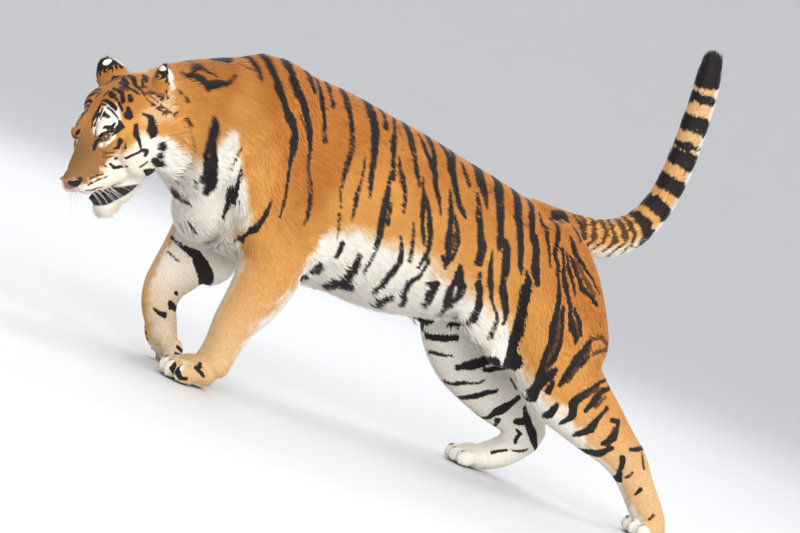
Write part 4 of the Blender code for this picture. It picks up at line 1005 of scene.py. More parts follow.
def marks(points, normals, known=None):
    """The coat's marks at points of the plan: how deep inside a black stripe (metres, below
    zero outside), how brown the stripe is, how white the coat is, how dark its orange, and how
    tan it is. known is the points' shares and places along the chains, where they are known."""
    share, where = known or regions(points)[:2]
    tail = share["tail"] * ease(0.12, 0.2, where["tail"])
    head = ease(0.4, 0.6, share["head"])
    warp = wander(points, 0.09, 3) * 0.0035 + wander(points, 0.022, 5) * 0.0012
    stripe, faint, white, deep = body_marks(points, normals, share, where, warp, tail)
    rings, tail_white = tail_marks(points, where["tail"])
    head_stripe, head_faint, pale = head_marks(points, normals, warp)
    stripe = blend(blend(stripe, rings, tail), head_stripe, head)
    faint = blend(blend(faint, OUTSIDE, tail), head_faint, head)
    white = blend(blend(white, tail_white, tail), pale, head)
    # Faint strokes and the tail's first rings are brown, less so in the white.
    brown = np.where((faint > stripe) & (stripe < 0.0), 0.55, 0.0)
    brown += tail * ease(0.42, 0.36, where["tail"]) * 0.45 * (rings > faint)
    behind, _, above = head_places(points).T
    deep = deep * (1 - head) * (1 - tail) + 0.20 * ripple(points, 0.13, 13)
    # The neck's orange is deepened: partly its own darker orange, partly painted shade.
    deep += (0.12 + 0.45 * ease(0.06, 0.10, above)) * head + 0.45 * share["neck"] * (1 - head)
    return {"stripe": np.maximum(stripe, faint),
            "brown": np.clip(brown * (1 - 0.65 * white), 0, 1),
            "white": np.clip(white, 0, 1), "deep": np.clip(deep, 0, 1),
            "tan": ease(0.17, 0.08, behind) * ease(-0.045, -0.02, above) * head}


# ------------------------------------------------------------------ skin


def eye_ways(sign):
    """An eye's middle, the way it looks, the way to its outer corner, and its upward way."""
    gaze = unit(FORWARD * 0.80 + LEFT * sign * 0.60 + UP * 0.02)
    outer = LEFT * sign * 0.75 - FORWARD * 0.62 + UP * 0.22
    outer = unit(outer - gaze * (outer @ gaze))
    top = np.cross(gaze, outer)
    top = top * np.sign(top @ UP)
    return in_head(EYE_PLACE[0], EYE_PLACE[1] * sign, EYE_PLACE[2]), gaze, outer, top


def shape_head(points, normals):
    """Press the fine forms of the face into the fused skin. A dent is an ellipsoid's soft
    fall-off times its depth along the surface's normal; an eye's socket draws the skin in
    front of the eye back to SOCKET times its radius."""
    behind, beside, above = head_places(points).T
    push = np.zeros(len(points))
    for place, radii, depth in (
            ((0.100, 0.044, 0.046), (0.026, 0.020, 0.018), 0.007),      # inner corner
            ((0.030, 0.0, -0.045), (0.026, 0.0045, 0.026), 0.006),      # groove under the nose
            ((0.060, 0.030, 0.006), (0.030, 0.012, 0.014), 0.003),      # beside the bridge
            ((0.140, 0.050, 0.030), (0.030, 0.020, 0.014), 0.003)):     # under the eye
        away = (np.stack([behind, abs(beside), above], -1) - place) / radii
        push -= depth * ease(1.0, 0.0, np.linalg.norm(away, axis=1))
    points = points + normals * (push * HEAD_SIZE)[:, None]
    sunk_radius = EYE_RADIUS * SOCKET
    for sign in (1, -1):
        centre, gaze, outer, top = eye_ways(sign)
        away = points - centre
        far = np.linalg.norm(away, axis=1)
        socket = within(away @ outer, away @ top, (0.0175, 0.0125), 1.25, 0.75)
        ahead = away @ gaze > 0
        sunk = np.where(ahead, blend(far, np.minimum(far, sunk_radius), socket), far)
        close = ahead & (far < EYE_RADIUS * 2.2)
        near = np.where(close, np.maximum(sunk, sunk_radius), sunk)
        points = centre + away * (near / np.maximum(far, 1e-9))[:, None]
    return points


def fused_forms():
    """All the forms of body, head, ears and feet, in the plan."""
    forms = [tube(TRUNK, 40, 36), tube(NECK, 24, 32), tube(TAIL, 48, 20)]
    forms += [tube(CHAINS[name], 40, 24) for name in LEGS]
    forms += [ball(row[:3], row[3:]) for row in SWELLINGS]
    forms += [head_tube(SKULL), head_tube(JAW)]
    forms += [head_ball((a, b * sign, c), radii) for a, b, c, *radii in HEAD_SWELLINGS
              for sign in ((1, -1) if b else (1,))]
    forms += [ear(1), ear(-1)]
    for name in PAWS:
        forms += paw_forms(name)
    return forms


def build_skin():
    """Fuse the forms, smooth them, draw them in by the coat's depth, shape the face, and thin
    the mesh away from the head."""
    skin = new_object("skin", *joined(fused_forms()))
    grain = skin.modifiers.new("grain", "REMESH")
    grain.mode, grain.voxel_size = "VOXEL", GRAIN
    settle(skin)
    points = mesh_points(skin.data)
    edges = read_all(skin.data.edges, "vertices", 2, np.int32)
    share, where, _ = regions(points)
    slim = 0.8 * share["tail"]
    for name in PAWS:
        slim += share[name] * 0.6 * ease(0.4, 0.7, where[name])
    fine = np.maximum.reduce([share["head"], ease(0.11, 0.08, points[:, 2]), slim])
    free = 0.5 * (1 - 0.93 * ease(0.3, 0.9, fine))
    points = soften(points, edges, free, SMOOTHINGS)
    put_points(skin.data, points)
    normals = mesh_normals(skin.data)
    depth = soften(coat_depth(points, normals, share, where), edges, 0.6, 12)
    points = shape_head(points - normals * depth[:, None], normals)
    points[:, 2] = np.maximum(points[:, 2], SOLE)
    put_points(skin.data, points)
    body = skin.vertex_groups.new(name="body")
    body.add(np.flatnonzero(share["head"] < 0.5).tolist(), 1.0, "REPLACE")
    thin = skin.modifiers.new("thin", "DECIMATE")
    thin.ratio = min(1.0, SKIN_TRIANGLES / (2 * len(skin.data.polygons)))
    thin.vertex_group = "body"
    settle(skin)
    skin.vertex_groups.clear()
    skin.data.materials.append(bpy.data.materials["tiger skin"])
    return skin


def mark_skin(skin):
    """Leave on every point of the skin what its coat needs: the lie of the hair, its depth,
    the chain it belongs to and the marks, which are read where the coat's surface is."""
    points, normals = mesh_points(skin.data), mesh_normals(skin.data)
    share, where, owner = regions(points)
    depth = coat_depth(points, normals, share, where)
    found = marks(points + normals * depth[:, None], normals, (share, where))
    ears, _, _, opens = ear_places(points)
    put_values(skin.data, {
        **found, "stripe": found["stripe"] * 1000.0, "owner": owner, "bare": bareness(points),
        "flow": coat_flow(points, normals, share, where), "vary": np.zeros(len(points)),
        "depth": depth + 0.004 * ears * (opens * normals).sum(1).clip(0, 1)})


def bareness(points):
    """1 on bare skin: the lips and the mouth's inside, the soles of the feet, and the part
    that the nose leather covers. All are coloured near black, in the mouth as painted shade."""
    behind, beside, above = head_places(points).T
    mouth = (ease(0.004, -0.002, above - np.interp(behind, *UPPER_LIP))
             * ease(-0.003, 0.003, above - np.interp(behind, *LOWER_LIP))
             * ease(0.195, 0.175, behind) * ease(0.02, 0.04, behind)
             * ease(0.085, 0.075, abs(beside)))
    under_nose = (np.hypot(beside / 0.032, (above + 0.012) / 0.015) < 1) & (behind < 0.03)
    return np.maximum.reduce([mouth, ease(0.010, 0.004, points[:, 2]), under_nose * 1.0])


def unwrap(skin):
    """Lay the skin's own shape out flat, for the places of the tufts' colours."""
    for thing in bpy.context.selected_objects:
        thing.select_set(False)
    bpy.context.view_layer.objects.active = skin
    skin.select_set(True)
    skin.data.uv_layers.new(name="OFBake")
    bpy.ops.object.mode_set(mode="EDIT")
    bpy.ops.mesh.select_all(action="SELECT")
    bpy.ops.uv.smart_project(angle_limit=math.radians(66), island_margin=0.001)
    bpy.ops.object.mode_set(mode="OBJECT")


# ------------------------------------------------------------------ coat

# Each piece of the coat: whose skin it grows on, which side (0 for both), between which two
# places along the body, how many thousand tufts, and their length as a multiple of the
# coat's depth.
ALL, FRONT, REAR = (-9.0, 9.0), (-9.0, -0.10), (-0.10, 9.0)
COAT_PIECES = {
    "coat_face_left": ("head", -1, ALL, 42, 3.4),
    "coat_face_right": ("head", 1, ALL, 36, 3.4),
    "coat_neck": ("neck", 0, ALL, 28, 2.9),
    "coat_ribs_left": ("trunk", -1, FRONT, 26, 2.6),
    "coat_ribs_right": ("trunk", 1, FRONT, 26, 2.6),
    "coat_loin_left": ("trunk", -1, REAR, 24, 2.6),
    "coat_loin_right": ("trunk", 1, REAR, 24, 2.6),
    "coat_foreleg_left": ("foreleg_left", 0, ALL, 34, 2.5),
    "coat_foreleg_right": ("foreleg_right", 0, ALL, 30, 2.5),
    "coat_hindleg_left": ("hindleg_left", 0, ALL, 46, 2.6),
    "coat_hindleg_right": ("hindleg_right", 0, ALL, 42, 2.6),
    "coat_tail": ("tail", 0, ALL, 16, 2.5),
}


def triangles(mesh):
    """Every triangle's points and loops, and its area."""
    mesh.calc_loop_triangles()
    faces, loops = (read_all(mesh.loop_triangles, field, 3, np.int32)
                    for field in ("vertices", "loops"))
    points = mesh_points(mesh)
    a, b, c = (points[faces[:, k]] for k in range(3))
    return faces, loops, np.linalg.norm(np.cross(b - a, c - a), axis=1) / 2


def scatter(skin, faces, loops, odds, count, draw):
    """Places on the skin drawn by chance: a triangle by its odds, and a spot in it from two
    even draws folded into the triangle. What comes back reads values there, and the unwrap."""
    pick = np.searchsorted(np.cumsum(odds) / odds.sum(), draw.random(count))
    pick = np.minimum(pick, len(faces) - 1)
    s, t = draw.random(count), draw.random(count)
    over = s + t > 1
    s[over], t[over] = 1 - s[over], 1 - t[over]
    weight = np.stack([1 - s - t, s, t], -1)[..., None]

    def read(values):
        values = np.asarray(values)
        shaped = values if values.ndim > 1 else values[:, None]
        got = (shaped[faces[pick]] * weight).sum(axis=1)
        return got if values.ndim > 1 else got[:, 0]

    uv = read_all(skin.data.uv_layers["OFBake"].data, "uv", 2)
    return read, (uv[loops[pick]] * weight).sum(axis=1)


def grow(name, roots, ways, normals, length, half, bend, uv, values):
    """Make solid tufts: a three-cornered foot, wide across the way and with a low ridge, that
    narrows to a point. Where bend is given, a middle ring lies between foot and tip and the
    tip sags by the bend along the normal. Each tuft has its own patch of the unwrap."""
    count = len(roots)
    side = unit(np.cross(normals, ways))
    top = np.cross(ways, side)
    wide, ridge = side * half[:, None], top * (half * 0.8)[:, None]
    tip = roots + ways * length[:, None]
    foot = [roots - wide, roots + wide, roots + ridge]
    if bend is None:
        shape = np.stack([*foot, tip], axis=1)
        pattern = np.array([(0, 2, 1), (0, 1, 3), (1, 2, 3), (2, 0, 3)])
        patch = np.array([(-1, -1), (1, -1), (0, 0), (0, 1)]) * PATCH
        tips = np.array([0, 0, 0, 1.0])
    else:
        mid = roots + ways * (length * 0.5)[:, None] + normals * (bend * 0.3)[:, None]
        tip = tip - normals * (bend * 0.4)[:, None]
        shape = np.stack([*foot, mid - wide * 0.8, mid + wide * 0.8, mid + ridge * 0.8, tip],
                         axis=1)
        pattern = np.array([(0, 2, 1), (0, 1, 4), (0, 4, 3), (1, 2, 5), (1, 5, 4), (2, 0, 3),
                            (2, 3, 5), (3, 4, 6), (4, 5, 6), (5, 3, 6)])
        patch = np.array([(-1, -1), (1, -1), (0, -1), (-0.8, 0), (0.8, 0), (0, 0),
                          (0, 1)]) * PATCH
        tips = np.array([0, 0, 0, 0.5, 0.5, 0.5, 1.0])
    shape[..., 2] = np.maximum(shape[..., 2], OVER_FLOOR)
    corners = len(tips)
    faces = (np.arange(count)[:, None, None] * corners + pattern[None]).reshape(-1, 3)
    thing = new_object(name, shape.reshape(-1, 3), faces, "tiger fur")
    layer = thing.data.uv_layers.new(name="OFBake")
    spots = np.clip(uv[:, None] + patch[None], 0.0, 1.0).reshape(-1, 2)
    layer.data.foreach_set("uv", spots[faces.ravel()].astype(np.float32).ravel())
    # The tufts take the light as the body under them does, with a part of their own shape.
    off = shape - shape.mean(axis=1, keepdims=True)
    own = unit(off - ways[:, None] * (off * ways[:, None]).sum(2, keepdims=True))
    put_values(thing.data, {
        **{key: np.repeat(value, corners) for key, value in values.items()},
        "tip": np.tile(tips, count), "custom_normal": unit(0.85 * normals[:, None] + 0.28 * own)})
    dressed(thing, "coat")
    return count


def tuft_values(found, blur, draw):
    """The marks of tufts, their stripes' edges blurred by so many millimetres, and a shade of
    its own for each."""
    count = len(found["stripe"])
    return {**found, "stripe": found["stripe"] * 1000.0 + draw.normal(0, blur, count),
            "vary": draw.normal(0, 1, count)}


def tuft_length(depth, stretch, stripe):
    """A tuft is stretch times as long as the coat is deep, but shorter beside a stripe's edge:
    no more than the way to that edge and a third of its full length."""
    full = np.maximum(depth * stretch, 0.006)
    return np.minimum(full, np.abs(stripe) * 1.1 + 0.36 * full)


def tuft_breadth(depth):
    """How broad a tuft is, for the coat's depth: its root, against a coat 9 mm deep."""
    return np.clip(np.sqrt(depth / 0.009), 0.6, 1.25)


def coat_piece(skin, name, seed):
    """One piece of the coat: as many tufts as cover its skin, longer where the coat is deep,
    lifted so that their tips reach its outline, and parted in small locks."""
    owner_name, side, (low, high), thousands, stretch = COAT_PIECES[name]
    draw = np.random.default_rng(seed)
    mesh = skin.data
    faces, loops, area = triangles(mesh)
    points = mesh_points(mesh)
    owner, depth, bare, stripe = (get_values(mesh, key)
                                  for key in ("owner", "depth", "bare", "stripe"))
    mine = (np.rint(owner[faces[:, 0]]) == CHAIN_NAMES.index(owner_name)).astype(float)
    if side:
        across = -head_places(points)[:, 1] if owner_name == "head" else points[:, 1]
        mine *= across[faces].mean(axis=1) * side > 0
    along = points[faces, 0].mean(axis=1)
    mine *= (along > low) & (along <= high) & (bare[faces].max(axis=1) < 0.5)
    here = depth[faces].mean(axis=1)
    length = tuft_length(here, stretch, stripe[faces].mean(axis=1) * 0.001)
    chance = mine / (length * tuft_breadth(here))
    count = thousands * THOUSAND
    broad = min(COVER * (area * chance).sum() / count, BROADEST)
    read, uv = scatter(skin, faces, loops, area * chance, count, draw)
    roots, normals = read(points), unit(read(mesh_normals(mesh)))
    flow, depth = unit(read(get_values(mesh, "flow"))), read(depth)
    # The marks are read a little way along the tuft, and it ends soon after a stripe's edge.
    full, reach = stretch * depth, 0.3 * stretch * depth
    found = marks(roots + flow * reach[:, None] + normals * (0.4 * depth)[:, None], normals)
    length = tuft_length(depth, stretch, found["stripe"]) * draw.uniform(0.80, 1.12, count)
    swing = (0.15 * ripple(roots, 0.035, 21) + 0.09 * ripple(roots, 0.012, 22)
             + draw.normal(0, 0.06, count))
    lift = np.clip(depth / full * draw.uniform(0.55, 0.85, count), 0.05, 0.6)
    ways = unit(flow + unit(np.cross(normals, flow)) * swing[:, None] + normals * lift[:, None])
    # A short tuft starts further out, so that all tips reach the coat's outline.
    start = (reach - 0.5 * length)[:, None] * flow
    start += (np.clip(depth - length * lift, 0, None) * 0.5 - ROOTED)[:, None] * normals
    values = tuft_values(found, 0.7, draw)
    print(f"   {name}: {count} tufts, half-width {broad * 1000:.2f} mm")
    return grow(name, roots + start, ways, normals, length, broad * tuft_breadth(depth), None,
                uv, values)


def shagginess(points, normals, share):
    """Where long locks grow, from 0 to 1: the ruff behind the cheeks, chin, throat, chest,
    belly, flank fold, elbows and the ears' insides."""
    behind, _, above = head_places(points).T
    x, _, z = points.T
    ears, high, _, opens = ear_places(points)
    fore = share["foreleg_left"] + share["foreleg_right"]
    return np.maximum.reduce([
        0.9 * ease(0.17, 0.22, behind) * ease(0.33, 0.28, behind) * ease(0.03, -0.02, above)
        * ease(-0.26, -0.20, above),
        ease(-0.108, -0.118, above) * ease(0.195, 0.165, behind) * (behind > 0.03)
        * ease(0.3, 0.6, share["head"]),
        ears * ease(-0.3, 0.2, (normals * opens).sum(1)) * ease(0.75, 0.45, high)
        * ease(0.15, 0.30, high),
        0.55 * share["trunk"] * ease(-0.35, -0.8, normals[:, 2]),
        0.8 * ease(-0.02, 0.10, x) * ease(0.34, 0.24, x) * ease(0.52, 0.42, z) * (z > 0.3)
        * (share["trunk"] > 0.3),
        0.6 * share["neck"] * ease(0.0, -0.5, normals[:, 2]),
        0.3 * fore * ease(0.3, 0.8, normals[:, 0]) * ease(0.36, 0.44, z)])


def long_locks(skin, name, seed):
    """Long bent tufts where the coat is shaggy, twice to three times as long as the rest."""
    draw = np.random.default_rng(seed)
    mesh = skin.data
    faces, loops, area = triangles(mesh)
    points, normals = mesh_points(mesh), mesh_normals(mesh)
    share = regions(points)[0]
    shag = shagginess(points, normals, share) * (get_values(mesh, "bare") < 0.5)
    in_face = ease(0.3, 0.6, share["head"])
    chance = (shag * (1 + 3 * in_face) * (1 + 9 * ear_places(points)[0]))[faces].mean(axis=1)
    read, uv = scatter(skin, faces, loops, area * chance, LOCKS, draw)
    roots, normals, flow = read(points), unit(read(normals)), unit(read(get_values(mesh, "flow")))
    face = read(in_face)
    ears, _, _, opens = ear_places(roots)
    length = (0.046 - 0.020 * face) * (0.6 + 0.5 * read(shag)) * draw.uniform(0.6, 1.15, LOCKS)
    length *= 1 - 0.55 * ears
    swing = 0.35 * ripple(roots, 0.03, 31) + draw.normal(0, 0.12, LOCKS)
    lift = draw.uniform(0.16, 0.34, LOCKS) * (1 - 0.4 * face) + 0.25 * ears
    ways = unit(flow + unit(np.cross(normals, flow)) * swing[:, None] + normals * lift[:, None]
                + opens * (0.6 * ears)[:, None] + np.array((0, 0, -0.25)) * (1 - ears)[:, None])
    found = marks(roots + ways * (length * 0.4)[:, None], normals)
    lining = ease(0.3, 0.7, ears)
    found["white"] = np.maximum(found["white"], lining)
    found["stripe"] += OUTSIDE * lining
    values = tuft_values(found, 1.5, draw)
    half = np.where(face > 0.5, 0.0006, 0.0010) * draw.uniform(0.7, 1.2, LOCKS)
    return grow(name, roots - normals * ROOTED, ways, normals, length, half, length * 0.35, uv,
                values)


# ------------------------------------------------------------------ materials

# What the fur's colours read at every point, and their values where nothing is said.
FUR_INPUTS = {"Stripe": -10.0, "Brown": 0.0, "White": 0.0, "Deep": 0.0, "Tan": 0.0, "Tip": 0.0,
              "Vary": 0.0}


class Wiring:
    """Short ways to place nodes and join them in one tree."""

    def __init__(self, tree):
        self.tree = tree

    def put(self, socket, value):
        if isinstance(value, bpy.types.NodeSocket):
            self.tree.links.new(value, socket)
        else:
            socket.default_value = value

    def node(self, kind, inputs=(), **settings):
        """A node with its settings, and numbers or links for some inputs."""
        made = self.tree.nodes.new(kind)
        for key, value in settings.items():
            setattr(made, key, value)
        for key, value in dict(inputs).items():
            self.put(made.inputs[key], value)
        return made

    def math(self, operation, *values, clamp=False):
        return self.node("ShaderNodeMath", enumerate(values), operation=operation,
                         use_clamp=clamp).outputs[0]

    def shifted(self, value, factor, offset, to):
        """value times factor, plus offset, plus to."""
        return self.math("ADD", to, self.math("MULTIPLY_ADD", value, factor, offset))

    def mix(self, share, a, b, blend_type="MIX"):
        return self.node("ShaderNodeMix", {0: share, 6: a, 7: b}, data_type="RGBA",
                         blend_type=blend_type).outputs[2]

    def ramp(self, value, low, high):
        """0 at low, 1 at high, and a soft S between them."""
        return self.node("ShaderNodeMapRange", enumerate((value, low, high, 0.0, 1.0)),
                         clamp=True, interpolation_type="SMOOTHSTEP").outputs[0]

    def noise(self, place, scale, detail=3.0, rough=0.5, stretch=None):
        if stretch:
            place = self.node("ShaderNodeMapping", {"Vector": place, "Scale": stretch}).outputs[0]
        return self.node("ShaderNodeTexNoise", {"Vector": place, "Scale": scale,
                                                "Detail": detail, "Roughness": rough}
                         ).outputs["Fac"]

    def bump(self, height, strength, distance):
        return self.node("ShaderNodeBump", {"Height": height, "Strength": strength,
                                            "Distance": distance}).outputs[0]

    def attribute(self, name):
        return self.node("ShaderNodeAttribute", attribute_name=name).outputs["Fac"]

    def place(self):
        return self.node("ShaderNodeTexCoord").outputs["Object"]


def coat_colour_group(choice):
    """Fur's colour from the marks: orange, deeper on the back, tan on the nose's bridge,
    through cream to white below, black or brown where a stripe is; with flecks, a shade of
    each tuft's own, and a root darker than the tip, which is painted shade deep in the coat."""
    group = bpy.data.node_groups.new("Fur colour", "ShaderNodeTree")
    colours = {"Pale orange": choice.pale_orange, "Deep orange": choice.deep_orange,
               "Tan colour": choice.tan, "Cream colour": choice.cream,
               "White colour": choice.white, "Black colour": choice.black}
    sockets = [(label, "NodeSocketFloat", value) for label, value in FUR_INPUTS.items()]
    sockets += [(label, "NodeSocketColor", (*value, 1)) for label, value in colours.items()]
    for label, kind, value in sockets:
        socket = group.interface.new_socket(label, in_out="INPUT", socket_type=kind)
        socket.default_value = value
    group.interface.new_socket("Colour", in_out="OUTPUT", socket_type="NodeSocketColor")
    group.interface.new_socket("Height", in_out="OUTPUT", socket_type="NodeSocketFloat")
    w = Wiring(group)
    get = w.node("NodeGroupInput").outputs
    place = w.place()
    flecks = w.noise(place, 260.0, 3.0, 0.6)
    clouds = w.noise(place, 9.0, 3.0, 0.55)
    depth = w.shifted(clouds, 0.5, -0.25, get["Deep"])
    depth = w.math("ADD", depth, w.math("MULTIPLY", get["Vary"], 0.10), clamp=True)
    base = w.mix(depth, get["Pale orange"], get["Deep orange"])
    base = w.mix(get["Tan"], base, get["Tan colour"])
    edge = w.shifted(flecks, 0.20, -0.10, get["White"])
    edge = w.shifted(get["Vary"], 0.05, 0.0, edge)
    base = w.mix(w.ramp(edge, 0.06, 0.55), base, get["Cream colour"])
    base = w.mix(w.ramp(edge, 0.42, 0.96), base, get["White colour"])
    dark = w.ramp(w.shifted(flecks, 2.4, -1.2, get["Stripe"]), -0.9, 0.9)
    brown = w.mix(0.45, get["Black colour"], get["Deep orange"])
    stripe = w.mix(get["Brown"], get["Black colour"], brown)
    # Each tuft is darker at its root than at its tip: painted shade deep in the coat.
    light = w.math("MULTIPLY_ADD", get["Tip"], 0.17, 0.87)
    light = w.shifted(get["Vary"], 0.040, 0.0, light)
    light = w.shifted(flecks, 0.24, -0.12, light)
    grey = w.node("ShaderNodeCombineColor", enumerate((light, light, light))).outputs[0]
    w.node("NodeGroupOutput", {
        "Colour": w.mix(1.0, w.mix(dark, base, stripe), grey, "MULTIPLY"), "Height": flecks})
    return group


def new_material(name, settings):
    """A material, its shader's inputs and its wiring; settings are numbers for the shader."""
    material = bpy.data.materials.new(name)
    material.use_nodes = True
    inputs = material.node_tree.nodes["Principled BSDF"].inputs
    for key, value in settings.items():
        inputs[key].default_value = value
    return material, inputs, Wiring(material.node_tree)


def two_tones(w, scale, low, high, **ways):
    """Two colours in cloudy patches."""
    return w.mix(w.noise(w.place(), scale, **ways), (*low, 1), (*high, 1))


def fur_material(group):
    """Fur, for the tufts."""
    _, inputs, w = new_material("tiger fur", {
        "Roughness": 0.62, "Specular IOR Level": 0.22, "Sheen Weight": 0.12,
        "Sheen Roughness": 0.5})
    fur = w.node("ShaderNodeGroup", node_tree=group)
    for name in FUR_INPUTS:
        w.put(fur.inputs[name], w.attribute(name.lower()))
    w.put(inputs["Base Color"], fur.outputs["Colour"])


def skin_material(group):
    """The skin with its short under-coat in the same marks, and black lips and soles; the
    mouth's inside gets the same near-black as painted shade.
    """
    _, inputs, w = new_material("tiger skin", {"Specular IOR Level": 0.25})
    fur = w.node("ShaderNodeGroup", node_tree=group)
    # The skin reads as a tuft's root (Tip 0.1), so it takes that root's painted shade.
    for name in FUR_INPUTS:
        w.put(fur.inputs[name], 0.1 if name == "Tip" else w.attribute(name.lower()))
    bare = w.attribute("bare")
    # Lips and soles are black of their own; in the mouth's inside this near-black is painted
    # shade.
    lips_soles_and_mouth_shade = two_tones(w, 60.0, (0.004, 0.0035, 0.004), (0.016, 0.011, 0.011))
    w.put(inputs["Base Color"], w.mix(bare, fur.outputs["Colour"], lips_soles_and_mouth_shade))
    w.put(inputs["Roughness"], w.math("MULTIPLY_ADD", bare, -0.30, 0.75))
    streaks = w.noise(w.place(), 420.0, 2.0, 0.6, (1.0, 1.0, 0.35))
    w.put(inputs["Normal"], w.bump(w.math("ADD", fur.outputs["Height"], streaks), 0.5, 0.0012))


def leather_material(choice):
    """Nose leather: pink with a darker rim, painted shade in nostrils and groove, fine pebbles,
    damp.
    """
    _, inputs, w = new_material("nose leather", {
        "Roughness": 0.45, "Coat Weight": 0.08, "Specular IOR Level": 0.30})
    tone = two_tones(w, 55.0, choice.nose, np.multiply(choice.nose, (0.72, 0.62, 0.6)))
    # Nostrils and groove take near-black from dark, their painted shade; the lower rim is darker.
    w.put(inputs["Base Color"], w.mix(w.attribute("dark"), tone, (0.010, 0.007, 0.007, 1)))
    pits = w.node("ShaderNodeTexVoronoi", {"Vector": w.place(), "Scale": 620.0})
    w.put(inputs["Normal"], w.bump(pits.outputs["Distance"], 0.35, 0.0008))


def eye_material(choice):
    """An eye by the distance from its middle: a round pupil, an iris of fibres from yellow
    green to amber with a dark ring round it, and a brownish white, all under a wet coat."""
    _, inputs, w = new_material("eyeball", {
        "Roughness": 0.12, "Coat Weight": 0.6, "Coat Roughness": 0.02})
    out, turn = w.attribute("out"), w.attribute("turn")
    spot = w.node("ShaderNodeCombineXYZ", {0: w.math("MULTIPLY", turn, 26.0),
                                           1: w.math("MULTIPLY", out, 2.2)})
    fibres = w.node("ShaderNodeTexNoise", {"Vector": spot.outputs[0], "Scale": 1.0,
                                           "Detail": 3.0}, noise_dimensions="2D")
    colour = w.mix(w.ramp(fibres.outputs["Fac"], 0.35, 0.68), (*choice.iris, 1),
                   (*np.multiply(choice.iris, (0.45, 0.40, 0.3)), 1))
    for low, high, tone in ((0.42, 0.24, (0.30, 0.17, 0.05)),       # amber near the pupil
                            (0.50, 0.58, (0.02, 0.015, 0.01)),      # dark ring
                            (0.58, 0.66, (0.34, 0.24, 0.18)),       # white of the eye
                            (0.215, 0.195, (0.004, 0.004, 0.005))):     # pupil
        colour = w.mix(w.ramp(out, low, high), colour, (*tone, 1))
    w.put(inputs["Base Color"], colour)


def plain_material(name, low, high, scale, settings, grain=0.0, stretch=None):
    """Two tones in cloudy patches with a fine grain, for horn, tongue, lids and whiskers."""
    _, inputs, w = new_material(name, settings)
    w.put(inputs["Base Color"], two_tones(w, scale, low, high, detail=4.0, rough=0.6,
                                          stretch=stretch))
    if grain:
        height = w.noise(w.place(), scale * 8, 2.0, 0.6, stretch)
        w.put(inputs["Normal"], w.bump(height, 0.5, grain))


def make_materials(choice):
    group = coat_colour_group(choice)
    fur_material(group)
    skin_material(group)
    leather_material(choice)
    eye_material(choice)
    plain_material("eyelid", (0.008, 0.006, 0.006), (0.03, 0.02, 0.018), 80.0,
                   {"Roughness": 0.32, "Coat Weight": 0.3}, 0.0004)
    plain_material("whisker", (0.80, 0.78, 0.74), (0.62, 0.58, 0.52), 30.0, {"Roughness": 0.35})
    plain_material("claw horn", (0.10, 0.08, 0.065), (0.26, 0.21, 0.17), 90.0,
                   {"Roughness": 0.30, "Coat Weight": 0.2}, 0.0003, (1, 1, 0.2))
    plain_material("tongue flesh", (0.55, 0.20, 0.18), (0.66, 0.30, 0.27), 120.0,
                   {"Roughness": 0.40, "Coat Weight": 0.3}, 0.0006)


# ------------------------------------------------------------------ eyes, lids, nose, whiskers


def build_eye(sign, name):
    """An eyeball with a bulging cornea. Its loops are circles about the way it looks: at angle
    a from that way the radius is the eye's, plus a bump that fades out past the iris."""
    centre, gaze, outer, top = eye_ways(sign)
    rings, sides = 64, 72
    angle = np.linspace(0.004, math.pi - 0.02, rings)[:, None]
    turn = np.linspace(0, 2 * math.pi, sides, endpoint=False)[None, :]
    radius = EYE_RADIUS * (0.94 + 0.075 * ease(0.72, 0.05, angle))
    flat = (np.sin(angle) * radius)[..., None]
    points = (centre + gaze * (np.cos(angle) * radius)[..., None]
              + flat * (outer * np.cos(turn)[..., None] + top * np.sin(turn)[..., None]))
    faces = grid_faces(rings, sides)
    if np.linalg.det(np.stack([gaze, outer, top])) > 0:
        faces = faces[:, ::-1]
    eye = new_object(name, points.reshape(-1, 3), faces, "eyeball")
    put_values(eye.data, {"out": np.repeat(angle.ravel(), sides),
                          "turn": np.tile(np.sin(turn.ravel() * 0.5), rings)})
    return eye


def lid_opening(turn):
    """The almond between the lids, by the angle round the gaze: half its width and half its
    height, as angles at the eye's middle, with the inner corner drawn down and long."""
    c, s = np.cos(turn), np.sin(turn)
    u = np.where(c > 0, 0.60, 0.80) * np.sign(c) * np.abs(c)**1.15
    v = np.where(s > 0, 0.25, 0.26) * np.sign(s) * np.abs(s)**1.2
    return u, v - 0.26 * np.clip(-u / 0.80, 0, 1)**2 + 0.08 * np.clip(u / 0.60, 0, 1)**2


def build_lids(sign, name):
    """Both lids as one ring of skin that follows the eyeball: from the almond's edge on the
    ball, over a rounded rim, outwards over the socket and back behind it."""
    centre, gaze, outer, top = eye_ways(sign)
    sides = 96
    u, v = lid_opening(np.linspace(0, 2 * math.pi, sides, endpoint=False))
    # Each profile station: how much wider than the opening, and how far off the eye's middle.
    profile = [(1.00, 0.955), (1.00, 1.00), (1.03, 1.035), (1.12, 1.055), (1.35, 1.05),
               (1.65, 1.02), (2.00, 0.95), (2.05, 0.86), (1.60, 0.82), (1.15, 0.88)]
    loops = []
    for spread, off in profile:
        a, b = u * spread, v * spread + 0.02 * (spread - 1)
        way = unit(gaze * np.cos(np.hypot(a, b))[:, None]
                   + outer * (np.sin(a) * np.cos(b * 0.5))[:, None]
                   + top * (np.sin(b) * np.cos(a * 0.5))[:, None])
        loops.append(centre + way * EYE_RADIUS * off)
    rings = len(profile)
    i, j = np.meshgrid(np.arange(rings), np.arange(sides), indexing="ij")
    n, k = (i + 1) % rings, (j + 1) % sides
    faces = np.stack([i * sides + j, i * sides + k, n * sides + k, n * sides + j], -1)
    faces = faces.reshape(-1, 4)
    if np.linalg.det(np.stack([gaze, outer, top])) < 0:
        faces = faces[:, ::-1]
    return new_object(name, np.concatenate(loops), faces, "eyelid")


